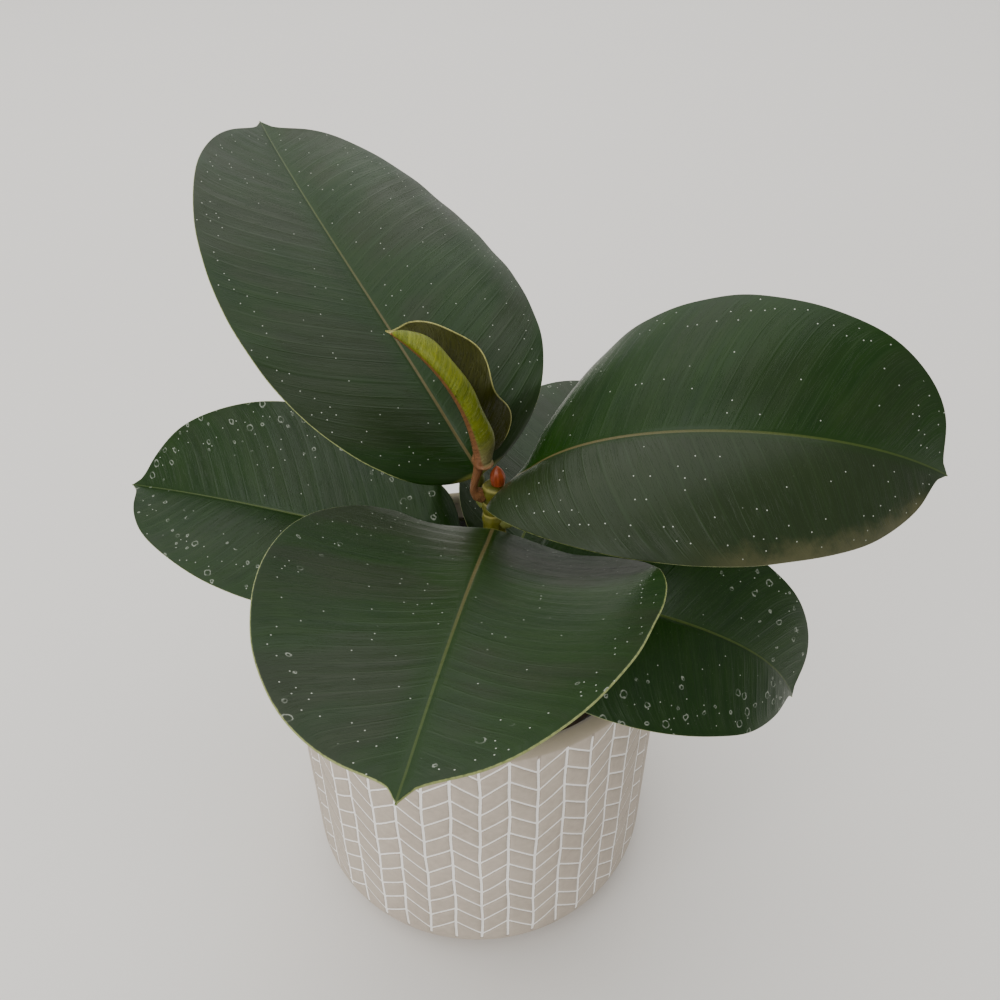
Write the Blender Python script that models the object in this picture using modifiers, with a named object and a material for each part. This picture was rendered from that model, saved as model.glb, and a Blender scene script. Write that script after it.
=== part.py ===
"""Potted rubber plant: a young Ficus elastica in its grow pot, standing inside a ceramic cover pot.

Metres, +Z up. The origin is the centre of the cover pot's flat underside and the front is -Y.
The cover pot sets the place of everything: the grow pot stands on its floor, the soil fills the
grow pot, the stem stands in the soil, and each leaf leaves the stem at its own height above the soil.
"""
import math

import bmesh
import bpy
from mathutils import Vector

MM = 0.001
GAP = 0.3 * MM                       # air left between two pieces that touch

# ---- Cover pot: a slip-cast ceramic pot, nearly straight, with a soft rounded foot
POT_HEIGHT = 121.0 * MM
POT_RIM_RADIUS = 67.5 * MM
POT_BASE_RADIUS = 66.5 * MM          # where the side would meet the ground without its rounded foot
POT_FOOT_ROUND = 15.5 * MM
POT_WALL = 6.0 * MM
POT_FLOOR = 7.0 * MM
POT_STEPS = 56                       # sides of the turned pieces
ARC_STEPS = 5                        # straight pieces in each rounded corner of a profile

# ---- Grow pot: the black plastic pot that the plant was raised in
GROW_SIDE_CLEARANCE = 3.0 * MM       # from its rim to the cover pot's inner wall
GROW_RIM_DROP = 9.0 * MM             # from the cover pot's rim down to its own
GROW_TAPER = 10.0 * MM               # how much narrower its base is than its rim
GROW_WALL = 1.2 * MM
GROW_LIP_WIDTH = 2.0 * MM
GROW_LIP_HEIGHT = 7.0 * MM
GROW_STEPS = 40
DRAIN_HOLES = 6
DRAIN_HOLE_RADIUS = 2.0 * MM
DRAIN_CIRCLE_RADIUS = 30.0 * MM

# ---- Soil
SOIL_RIM_DROP = 7.0 * MM             # from the grow pot's rim down to the soil at its edge
SOIL_MOUND = 3.0 * MM                # how much higher the soil is around the stem

# ---- Stem: rooted a little off the pot's centre, with a ring where each leaf grows
STEM_OFFSET_X = 6.6 * MM
STEM_RADIUS = 3.8 * MM
STEM_NODE_SWELL = 0.4 * MM
STEM_ROOTED_DEPTH = 35.0 * MM
STEM_TIP_LENGTH = 3.6 * MM           # from the highest leaf's ring up to the stem's tip
NODE_HALF_HEIGHT = 2.0 * MM

# ---- Bud sheath: the pointed red sheath on the tip of the stem
SHEATH_HEIGHT = 7.0 * MM
SHEATH_RADIUS = 2.6 * MM
SHEATH_OFFSET_X = 1.2 * MM           # off the stem's axis, below the rolled young leaf
SHEATH_OFFSET_Y = -0.8 * MM
SHEATH_STEPS = 16

# ---- Leaves: sizes that every leaf shares
LEAF_THICKNESS = 0.9 * MM
PETIOLE_RADIUS = 1.7 * MM
PETIOLE_LEAVES_AT = 35.0             # degrees above level where a petiole leaves the stem
RIB_DEPTH = 1.1 * MM                 # how far the midrib stands out of the leaf's underside
TIP_HALF_WIDTH = 0.026               # half width at the root of the drip tip, for each metre of leaf
BLADE_END = 0.955                    # share of the length where the broad blade ends and the tip starts
BLADE_FLAT_FROM = 0.10               # share of the length by which the round stalk has flattened out
RING_POINTS = 16                     # points round a leaf's cross-section
ROLLED_RING_POINTS = 32              # the same for a leaf that is rolled up
ROLLED_FROM = 0.03                   # share of the length by which a rolled leaf has rolled up
PETIOLE_RINGS = 5
BLADE_RINGS = 22
SUBSTEPS = 4                         # finer steps used to add up the curved midrib

# Each leaf, with lengths in millimetres and angles in degrees: its height above the soil where it
# grows from the stem, the compass direction of its petiole (from +X towards +Y), the petiole's
# length and slope, then the blade.
# turn: how far the blade's heading differs from the petiole's; swerve: how far it bends sideways.
# rise and level: slope of the midrib at the blade's base and at its tip; arch: below 1 it bends early.
# roll: twist about the midrib at base and added by the tip. fold and curl, left and right of the
# midrib seen from the stem: slope of each half at the midrib, and its change out to the margin.
# lean: share by which the left half is the wider one. widest: below 1 the blade is broadest nearer
# its tip. fullness: 0.5 gives an ellipse, more makes the blade slimmer at both ends.
# rolled: the curl follows the blade's width at each place, so the roll tapers with it. keel: how much
# stronger than usual the rib is.
LEAVES = {
    "leaf_back_left": dict(
        height=61.4, compass=139, petiole=9.4, slope=72, turn=-7, swerve=-17,
        length=175, half_width=54.0, lean=-0.06, rise=48, level=12, arch=0.54, roll=(-12, 31),
        fold=(11, 29), curl=(-10, -55), widest=0.905, fullness=0.60),
    "leaf_right": dict(
        height=57.2, compass=-31, petiole=14.6, slope=79, turn=-10, swerve=59,
        length=151.5, half_width=41.2, lean=0.04, rise=64, level=-35, arch=0.81, roll=(3, 57),
        fold=(23, 17), curl=(-40, -50), widest=0.92, fullness=0.54),
    "leaf_front": dict(
        height=48.5, compass=267, petiole=13.0, slope=54, turn=-4, swerve=0,
        length=146.5, half_width=53.0, lean=0.02, rise=31, level=15, arch=0.47, roll=(-6, 17),
        fold=(-11, 2), curl=(43, 33), widest=0.95, fullness=0.595),
    "leaf_left": dict(
        height=34.0, compass=172, petiole=9.6, slope=31, turn=-3, swerve=-16,
        length=135, half_width=38.0, lean=-0.04, rise=8, level=-14, arch=1.30, roll=(-19, 12),
        fold=(10, 49), curl=(-27, 0), widest=0.89, fullness=0.635),
    "leaf_low_right": dict(
        height=26.3, compass=314, petiole=6.2, slope=52, turn=3, swerve=61,
        length=122, half_width=34.3, lean=-0.07, rise=26, level=-70, arch=1.33, roll=(16, 26),
        fold=(32, 1), curl=(-35, -11), widest=0.825, fullness=0.52),
    "leaf_back": dict(
        height=17.0, compass=67, petiole=12.0, slope=32, turn=0, swerve=0,
        length=116, half_width=35.0, lean=0.03, rise=18, level=-5, arch=1.0, roll=(0, 0),
        fold=(12, 12), curl=(-12, -12), widest=0.90, fullness=0.58),
    "young_leaf": dict(
        height=67.4, compass=196, petiole=12, slope=84, turn=-40, swerve=-5,
        length=55, half_width=14.0, lean=-0.14, rise=86, level=10, arch=1.2, roll=(47, -4),
        fold=(-22, 54), curl=(235, 26), widest=0.75, fullness=0.40, keel=2.0, rolled=True,
        thickness=0.6, petiole_radius=1.7),
}

# ---- Values worked out from the sizes above
POT_INNER_RADIUS = POT_RIM_RADIUS - POT_WALL
GROW_RIM_RADIUS = POT_INNER_RADIUS - GROW_SIDE_CLEARANCE
GROW_BASE_Z = POT_FLOOR + GAP
GROW_RIM_Z = POT_HEIGHT - GROW_RIM_DROP
GROW_BODY_RADIUS = GROW_RIM_RADIUS - GROW_LIP_WIDTH
GROW_BASE_RADIUS = GROW_BODY_RADIUS - GROW_TAPER
SOIL_Z = GROW_RIM_Z - SOIL_RIM_DROP
SOIL_BASE_Z = GROW_BASE_Z + GROW_WALL + GAP
STEM_TOP_Z = SOIL_Z + max(leaf["height"] for leaf in LEAVES.values()) * MM + STEM_TIP_LENGTH
STEM_HOLE_RADIUS = STEM_RADIUS + STEM_NODE_SWELL + GAP
STEM_BASE_Z = SOIL_Z - STEM_ROOTED_DEPTH

COLOURS = {
    "cover_pot": ((0.52, 0.46, 0.40), 0.75),
    "grow_pot": ((0.012, 0.012, 0.013), 0.45),
    "potting_soil": ((0.035, 0.022, 0.014), 0.95),
    "stem": ((0.10, 0.11, 0.02), 0.60),
    "bud_sheath": ((0.35, 0.05, 0.02), 0.45),
    "leaf": ((0.035, 0.075, 0.030), 0.30),
    "young_leaf": ((0.19, 0.25, 0.03), 0.35),
}


def clear_scene():
    """Remove the objects that a new file starts with."""
    for thing in list(bpy.data.objects):
        bpy.data.objects.remove(thing, do_unlink=True)


def new_collection(name):
    """Make a collection and link it to the scene."""
    collection = bpy.data.collections.new(name)
    bpy.context.scene.collection.children.link(collection)
    return collection


def material(name):
    """A plain Principled finish for one sub-part."""
    colour, roughness = COLOURS[name]
    made = bpy.data.materials.new(name)
    made.use_nodes = True
    shader = made.node_tree.nodes["Principled BSDF"]
    shader.inputs["Base Color"].default_value = (*colour, 1.0)
    shader.inputs["Roughness"].default_value = roughness
    shader.inputs["Metallic"].default_value = 0.0
    return made


def add_object(name, data, collection, finish):
    """Link a mesh or curve as one named object with its own material."""
    made = bpy.data.objects.new(name, data)
    collection.objects.link(made)
    data.materials.append(material(finish))
    return made


def arc(centre_x, centre_z, radius, start, end, steps=ARC_STEPS):
    """Points on an arc in the XZ plane, angles in degrees from +X towards +Z."""
    points = []
    for step in range(steps + 1):
        angle = math.radians(start + (end - start) * step / steps)
        points.append((centre_x + radius * math.cos(angle), centre_z + radius * math.sin(angle)))
    return points


def turned(name, profile, steps, collection, finish, centre_x=0.0, centre_y=0.0):
    """Turn an (x, z) profile about the vertical axis with a Screw modifier."""
    mesh = bpy.data.meshes.new(name)
    vertices = [(x, 0.0, z) for x, z in profile]
    edges = [(i, i + 1) for i in range(len(profile) - 1)]
    mesh.from_pydata(vertices, edges, [])
    made = add_object(name, mesh, collection, finish)
    made.location = (centre_x, centre_y, 0.0)
    screw = made.modifiers.new("Turn", "SCREW")
    screw.axis = "Z"
    screw.steps = steps
    screw.render_steps = steps
    screw.use_merge_vertices = True
    screw.merge_threshold = 0.00002
    screw.use_smooth_shade = True
    return made


def pot_outer_radius(z):
    """Radius of the cover pot's straight side at a height."""
    return POT_BASE_RADIUS + (POT_RIM_RADIUS - POT_BASE_RADIUS) * z / POT_HEIGHT


def make_cover_pot(collection):
    """Cover pot: one wall all round, a round-over on the rim and a rounded foot inside and out."""
    half_wall = POT_WALL / 2
    foot_x = pot_outer_radius(POT_FOOT_ROUND) - POT_FOOT_ROUND
    inner_round = max(POT_FOOT_ROUND - POT_WALL, POT_WALL / 2)
    inner_foot_x = pot_outer_radius(POT_FOOT_ROUND) - POT_WALL - inner_round
    profile = [(0.0, POT_FLOOR)]
    profile += arc(inner_foot_x, POT_FLOOR + inner_round, inner_round, -90, 0)
    profile += arc(POT_RIM_RADIUS - half_wall, POT_HEIGHT - half_wall, half_wall, 180, 0, 8)
    profile += arc(foot_x, POT_FOOT_ROUND, POT_FOOT_ROUND, 0, -90, 7)
    profile += [(0.0, 0.0)]
    return turned("cover_pot", profile, POT_STEPS, collection, "cover_pot")


def make_drain_cutters(collection):
    """Upright cylinders through the grow pot's floor, one for each drain hole."""
    cutters = []
    for index in range(DRAIN_HOLES):
        angle = 2 * math.pi * index / DRAIN_HOLES
        x = DRAIN_CIRCLE_RADIUS * math.cos(angle)
        y = DRAIN_CIRCLE_RADIUS * math.sin(angle)
        mesh = bpy.data.meshes.new("drain_cutter")
        shape = bmesh.new()
        bmesh.ops.create_cone(shape, cap_ends=True, segments=12, radius1=DRAIN_HOLE_RADIUS,
                              radius2=DRAIN_HOLE_RADIUS, depth=GROW_WALL * 3)
        shape.to_mesh(mesh)
        shape.free()
        cutter = bpy.data.objects.new("drain_cutter_%d" % (index + 1), mesh)
        collection.objects.link(cutter)
        cutter.location = (x, y, GROW_BASE_Z + GROW_WALL / 2)
        cutter.hide_render = True
        cutter.display_type = "WIRE"
        cutters.append(cutter)
    return cutters


def make_grow_pot(collection, cutter_collection):
    """Grow pot: a thin tapered tub with a broad lip and drain holes in its floor."""
    lip_foot_z = GROW_RIM_Z - GROW_LIP_HEIGHT
    profile = [
        (0.0, GROW_BASE_Z + GROW_WALL),
        (GROW_BASE_RADIUS - GROW_WALL, GROW_BASE_Z + GROW_WALL),
        (GROW_BODY_RADIUS - GROW_WALL, lip_foot_z),
        (GROW_RIM_RADIUS - GROW_WALL, GROW_RIM_Z),
        (GROW_RIM_RADIUS, GROW_RIM_Z),
        (GROW_RIM_RADIUS, lip_foot_z),
        (GROW_BODY_RADIUS, lip_foot_z),
        (GROW_BASE_RADIUS, GROW_BASE_Z),
        (0.0, GROW_BASE_Z),
    ]
    pot = turned("grow_pot", profile, GROW_STEPS, collection, "grow_pot")
    make_drain_cutters(cutter_collection)
    cut = pot.modifiers.new("Drain holes", "BOOLEAN")
    cut.operation = "DIFFERENCE"
    cut.operand_type = "COLLECTION"
    cut.collection = cutter_collection
    cut.solver = "EXACT"
    return pot


def grow_inner_radius(z):
    """Inside radius of the grow pot's tapered wall at a height below its lip."""
    lip_foot_z = GROW_RIM_Z - GROW_LIP_HEIGHT
    share = (z - GROW_BASE_Z - GROW_WALL) / (lip_foot_z - GROW_BASE_Z - GROW_WALL)
    inner_base = GROW_BASE_RADIUS - GROW_WALL
    inner_lip = GROW_BODY_RADIUS - GROW_WALL
    return inner_base + (inner_lip - inner_base) * min(share, 1.0)


def make_potting_soil(collection):
    """Soil: fills the grow pot, mounds a little, and is open where the stem stands in it.

    It is a tapered body whose mounded top is pulled up around the stem, with a hole cut for the stem.
    """
    side_gap = GAP * 1.3
    profile = [
        (0.0, SOIL_Z + SOIL_MOUND),
        (STEM_OFFSET_X + STEM_HOLE_RADIUS * 2, SOIL_Z + SOIL_MOUND),
        ((grow_inner_radius(SOIL_Z) + STEM_OFFSET_X) * 0.6, SOIL_Z + SOIL_MOUND * 0.4),
        (grow_inner_radius(SOIL_Z) - side_gap, SOIL_Z),
        (grow_inner_radius(SOIL_BASE_Z) - side_gap, SOIL_BASE_Z),
        (0.0, SOIL_BASE_Z),
    ]
    return turned("potting_soil", profile, GROW_STEPS, collection, "potting_soil")


def cut_stem_hole(soil, cutter_collection):
    """Cut the blind round hole in the soil that the stem's rooted end stands in."""
    bottom = STEM_BASE_Z - GAP
    top = SOIL_Z + SOIL_MOUND * 3
    mesh = bpy.data.meshes.new("stem_hole_cutter")
    shape = bmesh.new()
    bmesh.ops.create_cone(shape, cap_ends=True, segments=20, radius1=STEM_HOLE_RADIUS,
                          radius2=STEM_HOLE_RADIUS, depth=top - bottom)
    shape.to_mesh(mesh)
    shape.free()
    cutter = bpy.data.objects.new("stem_hole_cutter", mesh)
    cutter_collection.objects.link(cutter)
    cutter.location = (STEM_OFFSET_X, 0.0, (top + bottom) / 2)
    cutter.hide_render = True
    cutter.display_type = "WIRE"
    cut = soil.modifiers.new("Stem hole", "BOOLEAN")
    cut.operation = "DIFFERENCE"
    cut.object = cutter
    cut.solver = "EXACT"


def make_stem(collection):
    """Stem: a round rod from the roots to the tip that swells a little at each leaf's ring."""
    heights = sorted(SOIL_Z + leaf["height"] * MM for leaf in LEAVES.values())
    stations = [(STEM_BASE_Z, STEM_RADIUS), (SOIL_Z, STEM_RADIUS)]
    for index, z in enumerate(heights):
        below = z - NODE_HALF_HEIGHT
        above = z + NODE_HALF_HEIGHT
        if below > stations[-1][0] + GAP:
            stations.append((below, STEM_RADIUS))
        stations.append((z, STEM_RADIUS + STEM_NODE_SWELL))
        later = heights[index + 1] if index + 1 < len(heights) else STEM_TOP_Z
        if above < later - GAP:
            stations.append((above, STEM_RADIUS))
    if STEM_TOP_Z > stations[-1][0] + GAP:
        stations.append((STEM_TOP_Z, STEM_RADIUS))
    curve = bpy.data.curves.new("stem", "CURVE")
    curve.dimensions = "3D"
    curve.bevel_depth = STEM_RADIUS
    curve.bevel_resolution = 4
    curve.use_fill_caps = True
    spline = curve.splines.new("POLY")
    spline.points.add(len(stations) - 1)
    for point, (z, radius) in zip(spline.points, stations):
        point.co = (STEM_OFFSET_X, 0.0, z, 1.0)
        point.radius = radius / STEM_RADIUS
    return add_object("stem", curve, collection, "stem")


def make_bud_sheath(collection):
    """Bud sheath: a slim pointed cap that sits on the stem's tip."""
    base_z = STEM_TOP_Z + GAP
    profile = [
        (0.0, base_z + SHEATH_HEIGHT),
        (SHEATH_RADIUS * 0.45, base_z + SHEATH_HEIGHT * 0.75),
        (SHEATH_RADIUS * 0.85, base_z + SHEATH_HEIGHT * 0.35),
        (SHEATH_RADIUS, base_z),
        (0.0, base_z),
    ]
    return turned("bud_sheath", profile, SHEATH_STEPS, collection, "bud_sheath",
                  centre_x=STEM_OFFSET_X + SHEATH_OFFSET_X, centre_y=SHEATH_OFFSET_Y)


def direction(slope, compass):
    """Unit vector at a slope above level and a compass direction, both in radians."""
    level = math.cos(slope)
    return Vector((level * math.cos(compass), level * math.sin(compass), math.sin(slope)))


def blade_slope(leaf, u):
    """Slope of the midrib at the share u of the blade's length."""
    return math.radians(leaf["rise"] + (leaf["level"] - leaf["rise"]) * u ** leaf["arch"])


def blade_heading(leaf, u):
    """Compass direction of the midrib at the share u of the blade's length."""
    return math.radians(leaf["compass"] + leaf["turn"] + leaf["swerve"] * u)


def midrib_points(leaf, base):
    """Add up short steps along the curved midrib and keep one point for each ring."""
    length = leaf["length"] * MM
    count = BLADE_RINGS * SUBSTEPS
    points = [base.copy()]
    place = base.copy()
    for step in range(count):
        middle = (step + 0.5) / count
        place += direction(blade_slope(leaf, middle), blade_heading(leaf, middle)) * length / count
        if (step + 1) % SUBSTEPS == 0:
            points.append(place.copy())
    return points


def smoothstep(low, high, value):
    """0 below low, 1 above high, and a smooth rise between."""
    share = min(max((value - low) / (high - low), 0.0), 1.0)
    return share * share * (3.0 - 2.0 * share)


def half_width(leaf, u, petiole_radius, half):
    """Width of the left (0) or right (1) half: stalk at the base, an oval blade, a narrow drip tip."""
    length = leaf["length"] * MM
    share = min(u / BLADE_END, 1.0) ** leaf["widest"]
    broad = leaf["half_width"] * MM * (1.0 + leaf["lean"] * (1.0 - 2.0 * half))
    blade = broad * (4.0 * share * (1.0 - share)) ** leaf["fullness"]
    tip = TIP_HALF_WIDTH * length * max(1.0 - u, 0.006) / (1.0 - BLADE_END) * smoothstep(0.6, 0.9, u)
    stalk = petiole_radius * (1.0 - smoothstep(0.0, 0.15, u))
    return (blade ** 3 + tip ** 3 + stalk ** 3) ** (1.0 / 3.0)


def frame_at(slope, heading, roll):
    """Side and upward directions of the leaf where its midrib has this slope, heading and roll."""
    forward = direction(slope, heading)
    side = Vector((-math.sin(heading), math.cos(heading), 0.0))
    up = forward.cross(side)
    turned_side = side * math.cos(roll) + up * math.sin(roll)
    turned_up = up * math.cos(roll) - side * math.sin(roll)
    return turned_side, turned_up


def ring_points(leaf):
    """How many points a leaf's cross-section has."""
    return ROLLED_RING_POINTS if "rolled" in leaf else RING_POINTS


def ring(centre, side, up, leaf, widths, flatness, bend, petiole_radius, thickness):
    """One closed cross-section: a circle in the petiole that flattens into the folded blade."""
    points = []
    count = ring_points(leaf)
    for index in range(count):
        angle = 2.0 * math.pi * index / count
        across = math.cos(angle)
        over = math.sin(angle)
        which = 0 if across >= 0.0 else 1
        fold = math.radians(leaf["fold"][which]) * bend
        curl = math.radians(leaf["curl"][which]) * bend + 1e-5
        width = widths[which]
        full_width = width if "rolled" in leaf else leaf["half_width"] * MM
        reach = abs(across) * width
        tilt = fold + curl * reach / full_width
        out = full_width / curl * (math.sin(tilt) - math.sin(fold))
        lift = -full_width / curl * (math.cos(tilt) - math.cos(fold))
        sign = 1.0 if across >= 0.0 else -1.0
        surface_up = up * math.cos(tilt) - side * math.sin(tilt) * sign
        if index in (count // 4, 3 * count // 4):
            surface_up = up
        plate = thickness / 2 * math.copysign(min(abs(over) * 2.5, 1.0), over)
        if index == 3 * count // 4:
            plate -= RIB_DEPTH * min(width / (leaf["half_width"] * MM), 1.0) * leaf.get("keel", 1.0)
        if abs(over) < 1e-6:
            plate = 0.0
        height = (1.0 - flatness) * petiole_radius * over + flatness * plate
        points.append(centre + side * out * sign + up * lift + surface_up * height)
    return points


def petiole_rings(leaf, start, base, petiole_radius, thickness):
    """Rings along the petiole: a smooth curve that leaves the stem and runs into the midrib."""
    rings = []
    compass = math.radians(leaf["compass"])
    leaving = direction(math.radians(PETIOLE_LEAVES_AT), compass)
    arriving = direction(blade_slope(leaf, 0.0), blade_heading(leaf, 0.0))
    reach = (base - start).length
    for index in range(PETIOLE_RINGS):
        t = index / PETIOLE_RINGS
        place = (start * (2 * t ** 3 - 3 * t ** 2 + 1) + base * (3 * t ** 2 - 2 * t ** 3)
                 + leaving * reach * (t ** 3 - 2 * t ** 2 + t) + arriving * reach * (t ** 3 - t ** 2))
        slope = math.radians(PETIOLE_LEAVES_AT) * (1 - t) + blade_slope(leaf, 0.0) * t
        heading = compass * (1 - t) + blade_heading(leaf, 0.0) * t
        side, up = frame_at(slope, heading, math.radians(leaf["roll"][0]) * t)
        widths = (petiole_radius, petiole_radius)
        rings.append(ring(place, side, up, leaf, widths, 0.0, 0.0, petiole_radius, thickness))
    return rings


def make_leaf(name, leaf, collection):
    """One leaf, petiole and blade in one piece, as a loft from a round stalk to a thin blade."""
    thickness = leaf.get("thickness", LEAF_THICKNESS / MM) * MM
    petiole_radius = leaf.get("petiole_radius", PETIOLE_RADIUS / MM) * MM
    compass = math.radians(leaf["compass"])
    node = Vector((STEM_OFFSET_X, 0.0, SOIL_Z + leaf["height"] * MM))
    outward = Vector((math.cos(compass), math.sin(compass), 0.0))
    clear = STEM_RADIUS + STEM_NODE_SWELL + GAP
    start = node + outward * (clear + petiole_radius * math.sin(math.radians(PETIOLE_LEAVES_AT)))
    base = node + outward * STEM_RADIUS + direction(math.radians(leaf["slope"]), compass) * leaf["petiole"] * MM
    rings = petiole_rings(leaf, start, base, petiole_radius, thickness)
    for index, place in enumerate(midrib_points(leaf, base)):
        u = index / BLADE_RINGS
        roll = math.radians(leaf["roll"][0] + leaf["roll"][1] * u)
        side, up = frame_at(blade_slope(leaf, u), blade_heading(leaf, u), roll)
        widths = [half_width(leaf, u, petiole_radius, half) for half in (0, 1)]
        flatness = smoothstep(0.0, BLADE_FLAT_FROM, u)
        bend = smoothstep(0.0, ROLLED_FROM if "rolled" in leaf else BLADE_FLAT_FROM, u)
        rings.append(ring(place, side, up, leaf, widths, flatness, bend, petiole_radius, thickness))
    shape = bmesh.new()
    loops = [[shape.verts.new(point) for point in one] for one in rings]
    count = ring_points(leaf)
    for near, far in zip(loops, loops[1:]):
        for index in range(count):
            after = (index + 1) % count
            shape.faces.new((near[index], near[after], far[after], far[index]))
    shape.faces.new(list(reversed(loops[0])))
    shape.faces.new(loops[-1])
    bmesh.ops.triangulate(shape, faces=shape.faces[:])
    bmesh.ops.recalc_face_normals(shape, faces=shape.faces[:])
    mesh = bpy.data.meshes.new(name)
    shape.to_mesh(mesh)
    shape.free()
    mesh.shade_smooth()
    return add_object(name, mesh, collection, "young_leaf" if name == "young_leaf" else "leaf")


def main():
    """Build the potted rubber plant."""
    clear_scene()
    plant = new_collection("potted_rubber_plant")
    drain_cutters = new_collection("drain_cutters")
    soil_cutters = new_collection("soil_cutters")
    make_cover_pot(plant)
    make_grow_pot(plant, drain_cutters)
    soil = make_potting_soil(plant)
    cut_stem_hole(soil, soil_cutters)
    make_stem(plant)
    make_bud_sheath(plant)
    for name, leaf in LEAVES.items():
        make_leaf(name, leaf, plant)


main()
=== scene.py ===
# %% [markdown]
# # A potted rubber plant
#
# A young rubber plant has five big leathery leaves, a small one behind them, and one leaf that is
# still unrolling at the tip. It stands in soil in a black grow pot, inside a ceramic cover pot with
# a herringbone of cut lines. The CAD model gives every place and size. This lesson puts finer
# surfaces on the same places: each new piece is a formula of two parameters, worked out with numpy.

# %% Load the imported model
import math

import bpy
import numpy as np
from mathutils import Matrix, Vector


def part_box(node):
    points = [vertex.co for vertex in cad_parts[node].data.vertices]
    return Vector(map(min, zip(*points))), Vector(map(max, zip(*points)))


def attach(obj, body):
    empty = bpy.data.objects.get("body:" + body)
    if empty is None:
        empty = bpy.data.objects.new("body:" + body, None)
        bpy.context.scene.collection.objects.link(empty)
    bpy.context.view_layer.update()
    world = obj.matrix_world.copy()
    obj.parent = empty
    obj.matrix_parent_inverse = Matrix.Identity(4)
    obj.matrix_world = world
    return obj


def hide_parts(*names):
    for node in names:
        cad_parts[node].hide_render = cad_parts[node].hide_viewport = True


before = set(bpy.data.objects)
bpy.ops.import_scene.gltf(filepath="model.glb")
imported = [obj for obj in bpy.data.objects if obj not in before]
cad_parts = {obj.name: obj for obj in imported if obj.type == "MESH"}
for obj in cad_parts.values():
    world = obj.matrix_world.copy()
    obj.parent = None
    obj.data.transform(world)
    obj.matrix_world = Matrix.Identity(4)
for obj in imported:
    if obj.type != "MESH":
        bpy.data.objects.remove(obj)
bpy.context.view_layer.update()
MM = 0.001
print("CAD nodes:", ", ".join(sorted(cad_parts)))

# %% [markdown]
# ## Where things are
#
# The formulas need a few anchors: the pot's height and radius, the soil's level, and the stem's
# axis. They are read from the boxes of the CAD nodes, so a resized model would move everything.
# The soil's highest point is its mound, which stands 3 mm over its level at the edge.

# %% Anchors from the CAD boxes
pot_low, pot_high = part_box("cover_pot")
stem_low, stem_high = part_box("stem")
soil_low, soil_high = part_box("potting_soil")
sheath_low, sheath_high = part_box("bud_sheath")
POT_HEIGHT = pot_high.z
POT_RIM_RADIUS = (pot_high.x - pot_low.x) / 2
STEM_X = (stem_low.x + stem_high.x) / 2
STEM_TOP_Z = stem_high.z
SOIL_MOUND = 3.0 * MM
SOIL_Z = soil_high.z - SOIL_MOUND
STEM_RADIUS = 3.8 * MM
STEM_NODE_SWELL = 0.4 * MM
GAP = 0.3 * MM
print("pot %.1f mm tall, rim radius %.1f mm" % (POT_HEIGHT * 1000, POT_RIM_RADIUS * 1000))
print("soil at %.1f mm, stem axis x = %.1f mm" % (SOIL_Z * 1000, STEM_X * 1000))

# %% [markdown]
# ## Making a mesh from a grid
#
# Almost every piece here is a tube of some kind: rows of points that each close on themselves. A
# leaf is a flattened tube, and a pot is a tube folded over at its rim. So one helper is enough. It
# joins neighbouring rows with four-sided faces and closes both ends with a fan of triangles.
# The volume inside tells whether the faces point outwards, because a shell that is inside out has
# a negative volume.

# %% Tube meshes
def tube_faces(rows, columns):
    """Quads between neighbours on a grid whose last column joins its first, as index arrays."""
    row, column = np.meshgrid(np.arange(rows - 1), np.arange(columns), indexing="ij")
    after = (column + 1) % columns
    corners = (row * columns + column, row * columns + after,
               (row + 1) * columns + after, (row + 1) * columns + column)
    return np.stack(corners, -1).reshape(-1, 4)


def end_fans(rows, columns):
    """Triangles that join the first and the last row to one extra point each."""
    column = np.arange(columns)
    after = (column + 1) % columns
    first = np.stack((after, column, np.full(columns, rows * columns)), -1)
    base = (rows - 1) * columns
    last = np.stack((base + column, base + after, np.full(columns, rows * columns + 1)), -1)
    return np.concatenate((first, last))


def triangles_of(quads, triangles):
    """Every face as triangles: a quad gives two."""
    return np.concatenate((quads[:, [0, 1, 2]], quads[:, [0, 2, 3]], triangles))


def volume_inside(points, triangles):
    """Volume of a closed shell: a sixth of the triple product of each triangle, added up."""
    a, b, c = points[triangles[:, 0]], points[triangles[:, 1]], points[triangles[:, 2]]
    return float(np.einsum("ij,ij->i", a, np.cross(b, c)).sum() / 6.0)


def add_mesh(name, points, quads, triangles, attributes):
    """A smooth mesh object at the origin, with vector attributes on its points."""
    if volume_inside(points, triangles_of(quads, triangles)) < 0:
        quads = quads[:, ::-1]
        triangles = triangles[:, ::-1]
    mesh = bpy.data.meshes.new(name)
    mesh.from_pydata(points.tolist(), [], quads.tolist() + triangles.tolist())
    for label, values in attributes.items():
        layer = mesh.attributes.new(label, "FLOAT_VECTOR", "POINT")
        layer.data.foreach_set("vector", np.ascontiguousarray(values, np.float32).ravel())
    mesh.shade_smooth()
    piece = bpy.data.objects.new(name, mesh)
    bpy.context.scene.collection.objects.link(piece)
    cubic = volume_inside(points, triangles_of(quads, triangles)) * 1e6
    print("%s: %d triangles, %.2f cm3" % (name, 2 * len(quads) + len(triangles), cubic))
    return piece


def tube_piece(name, grid, **attributes):
    """A tube from a grid of points (rows, columns, 3); each end closes on its row's middle."""
    rows, columns = grid.shape[:2]
    ends = np.stack((grid[0].mean(0), grid[-1].mean(0)))
    points = np.concatenate((grid.reshape(-1, 3), ends))
    carried = {}
    for label, values in attributes.items():
        tails = np.stack((values[0].mean(0), values[-1].mean(0)))
        carried[label] = np.concatenate((values.reshape(-1, 3), tails))
    return add_mesh(name, points, tube_faces(rows, columns), end_fans(rows, columns), carried)


def settle(piece, node, finish):
    """Let a finished piece ride on the plant, stand for its CAD node, and wear its finish."""
    piece.data.materials.append(finish)
    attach(piece, "root")
    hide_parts(node)


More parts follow.
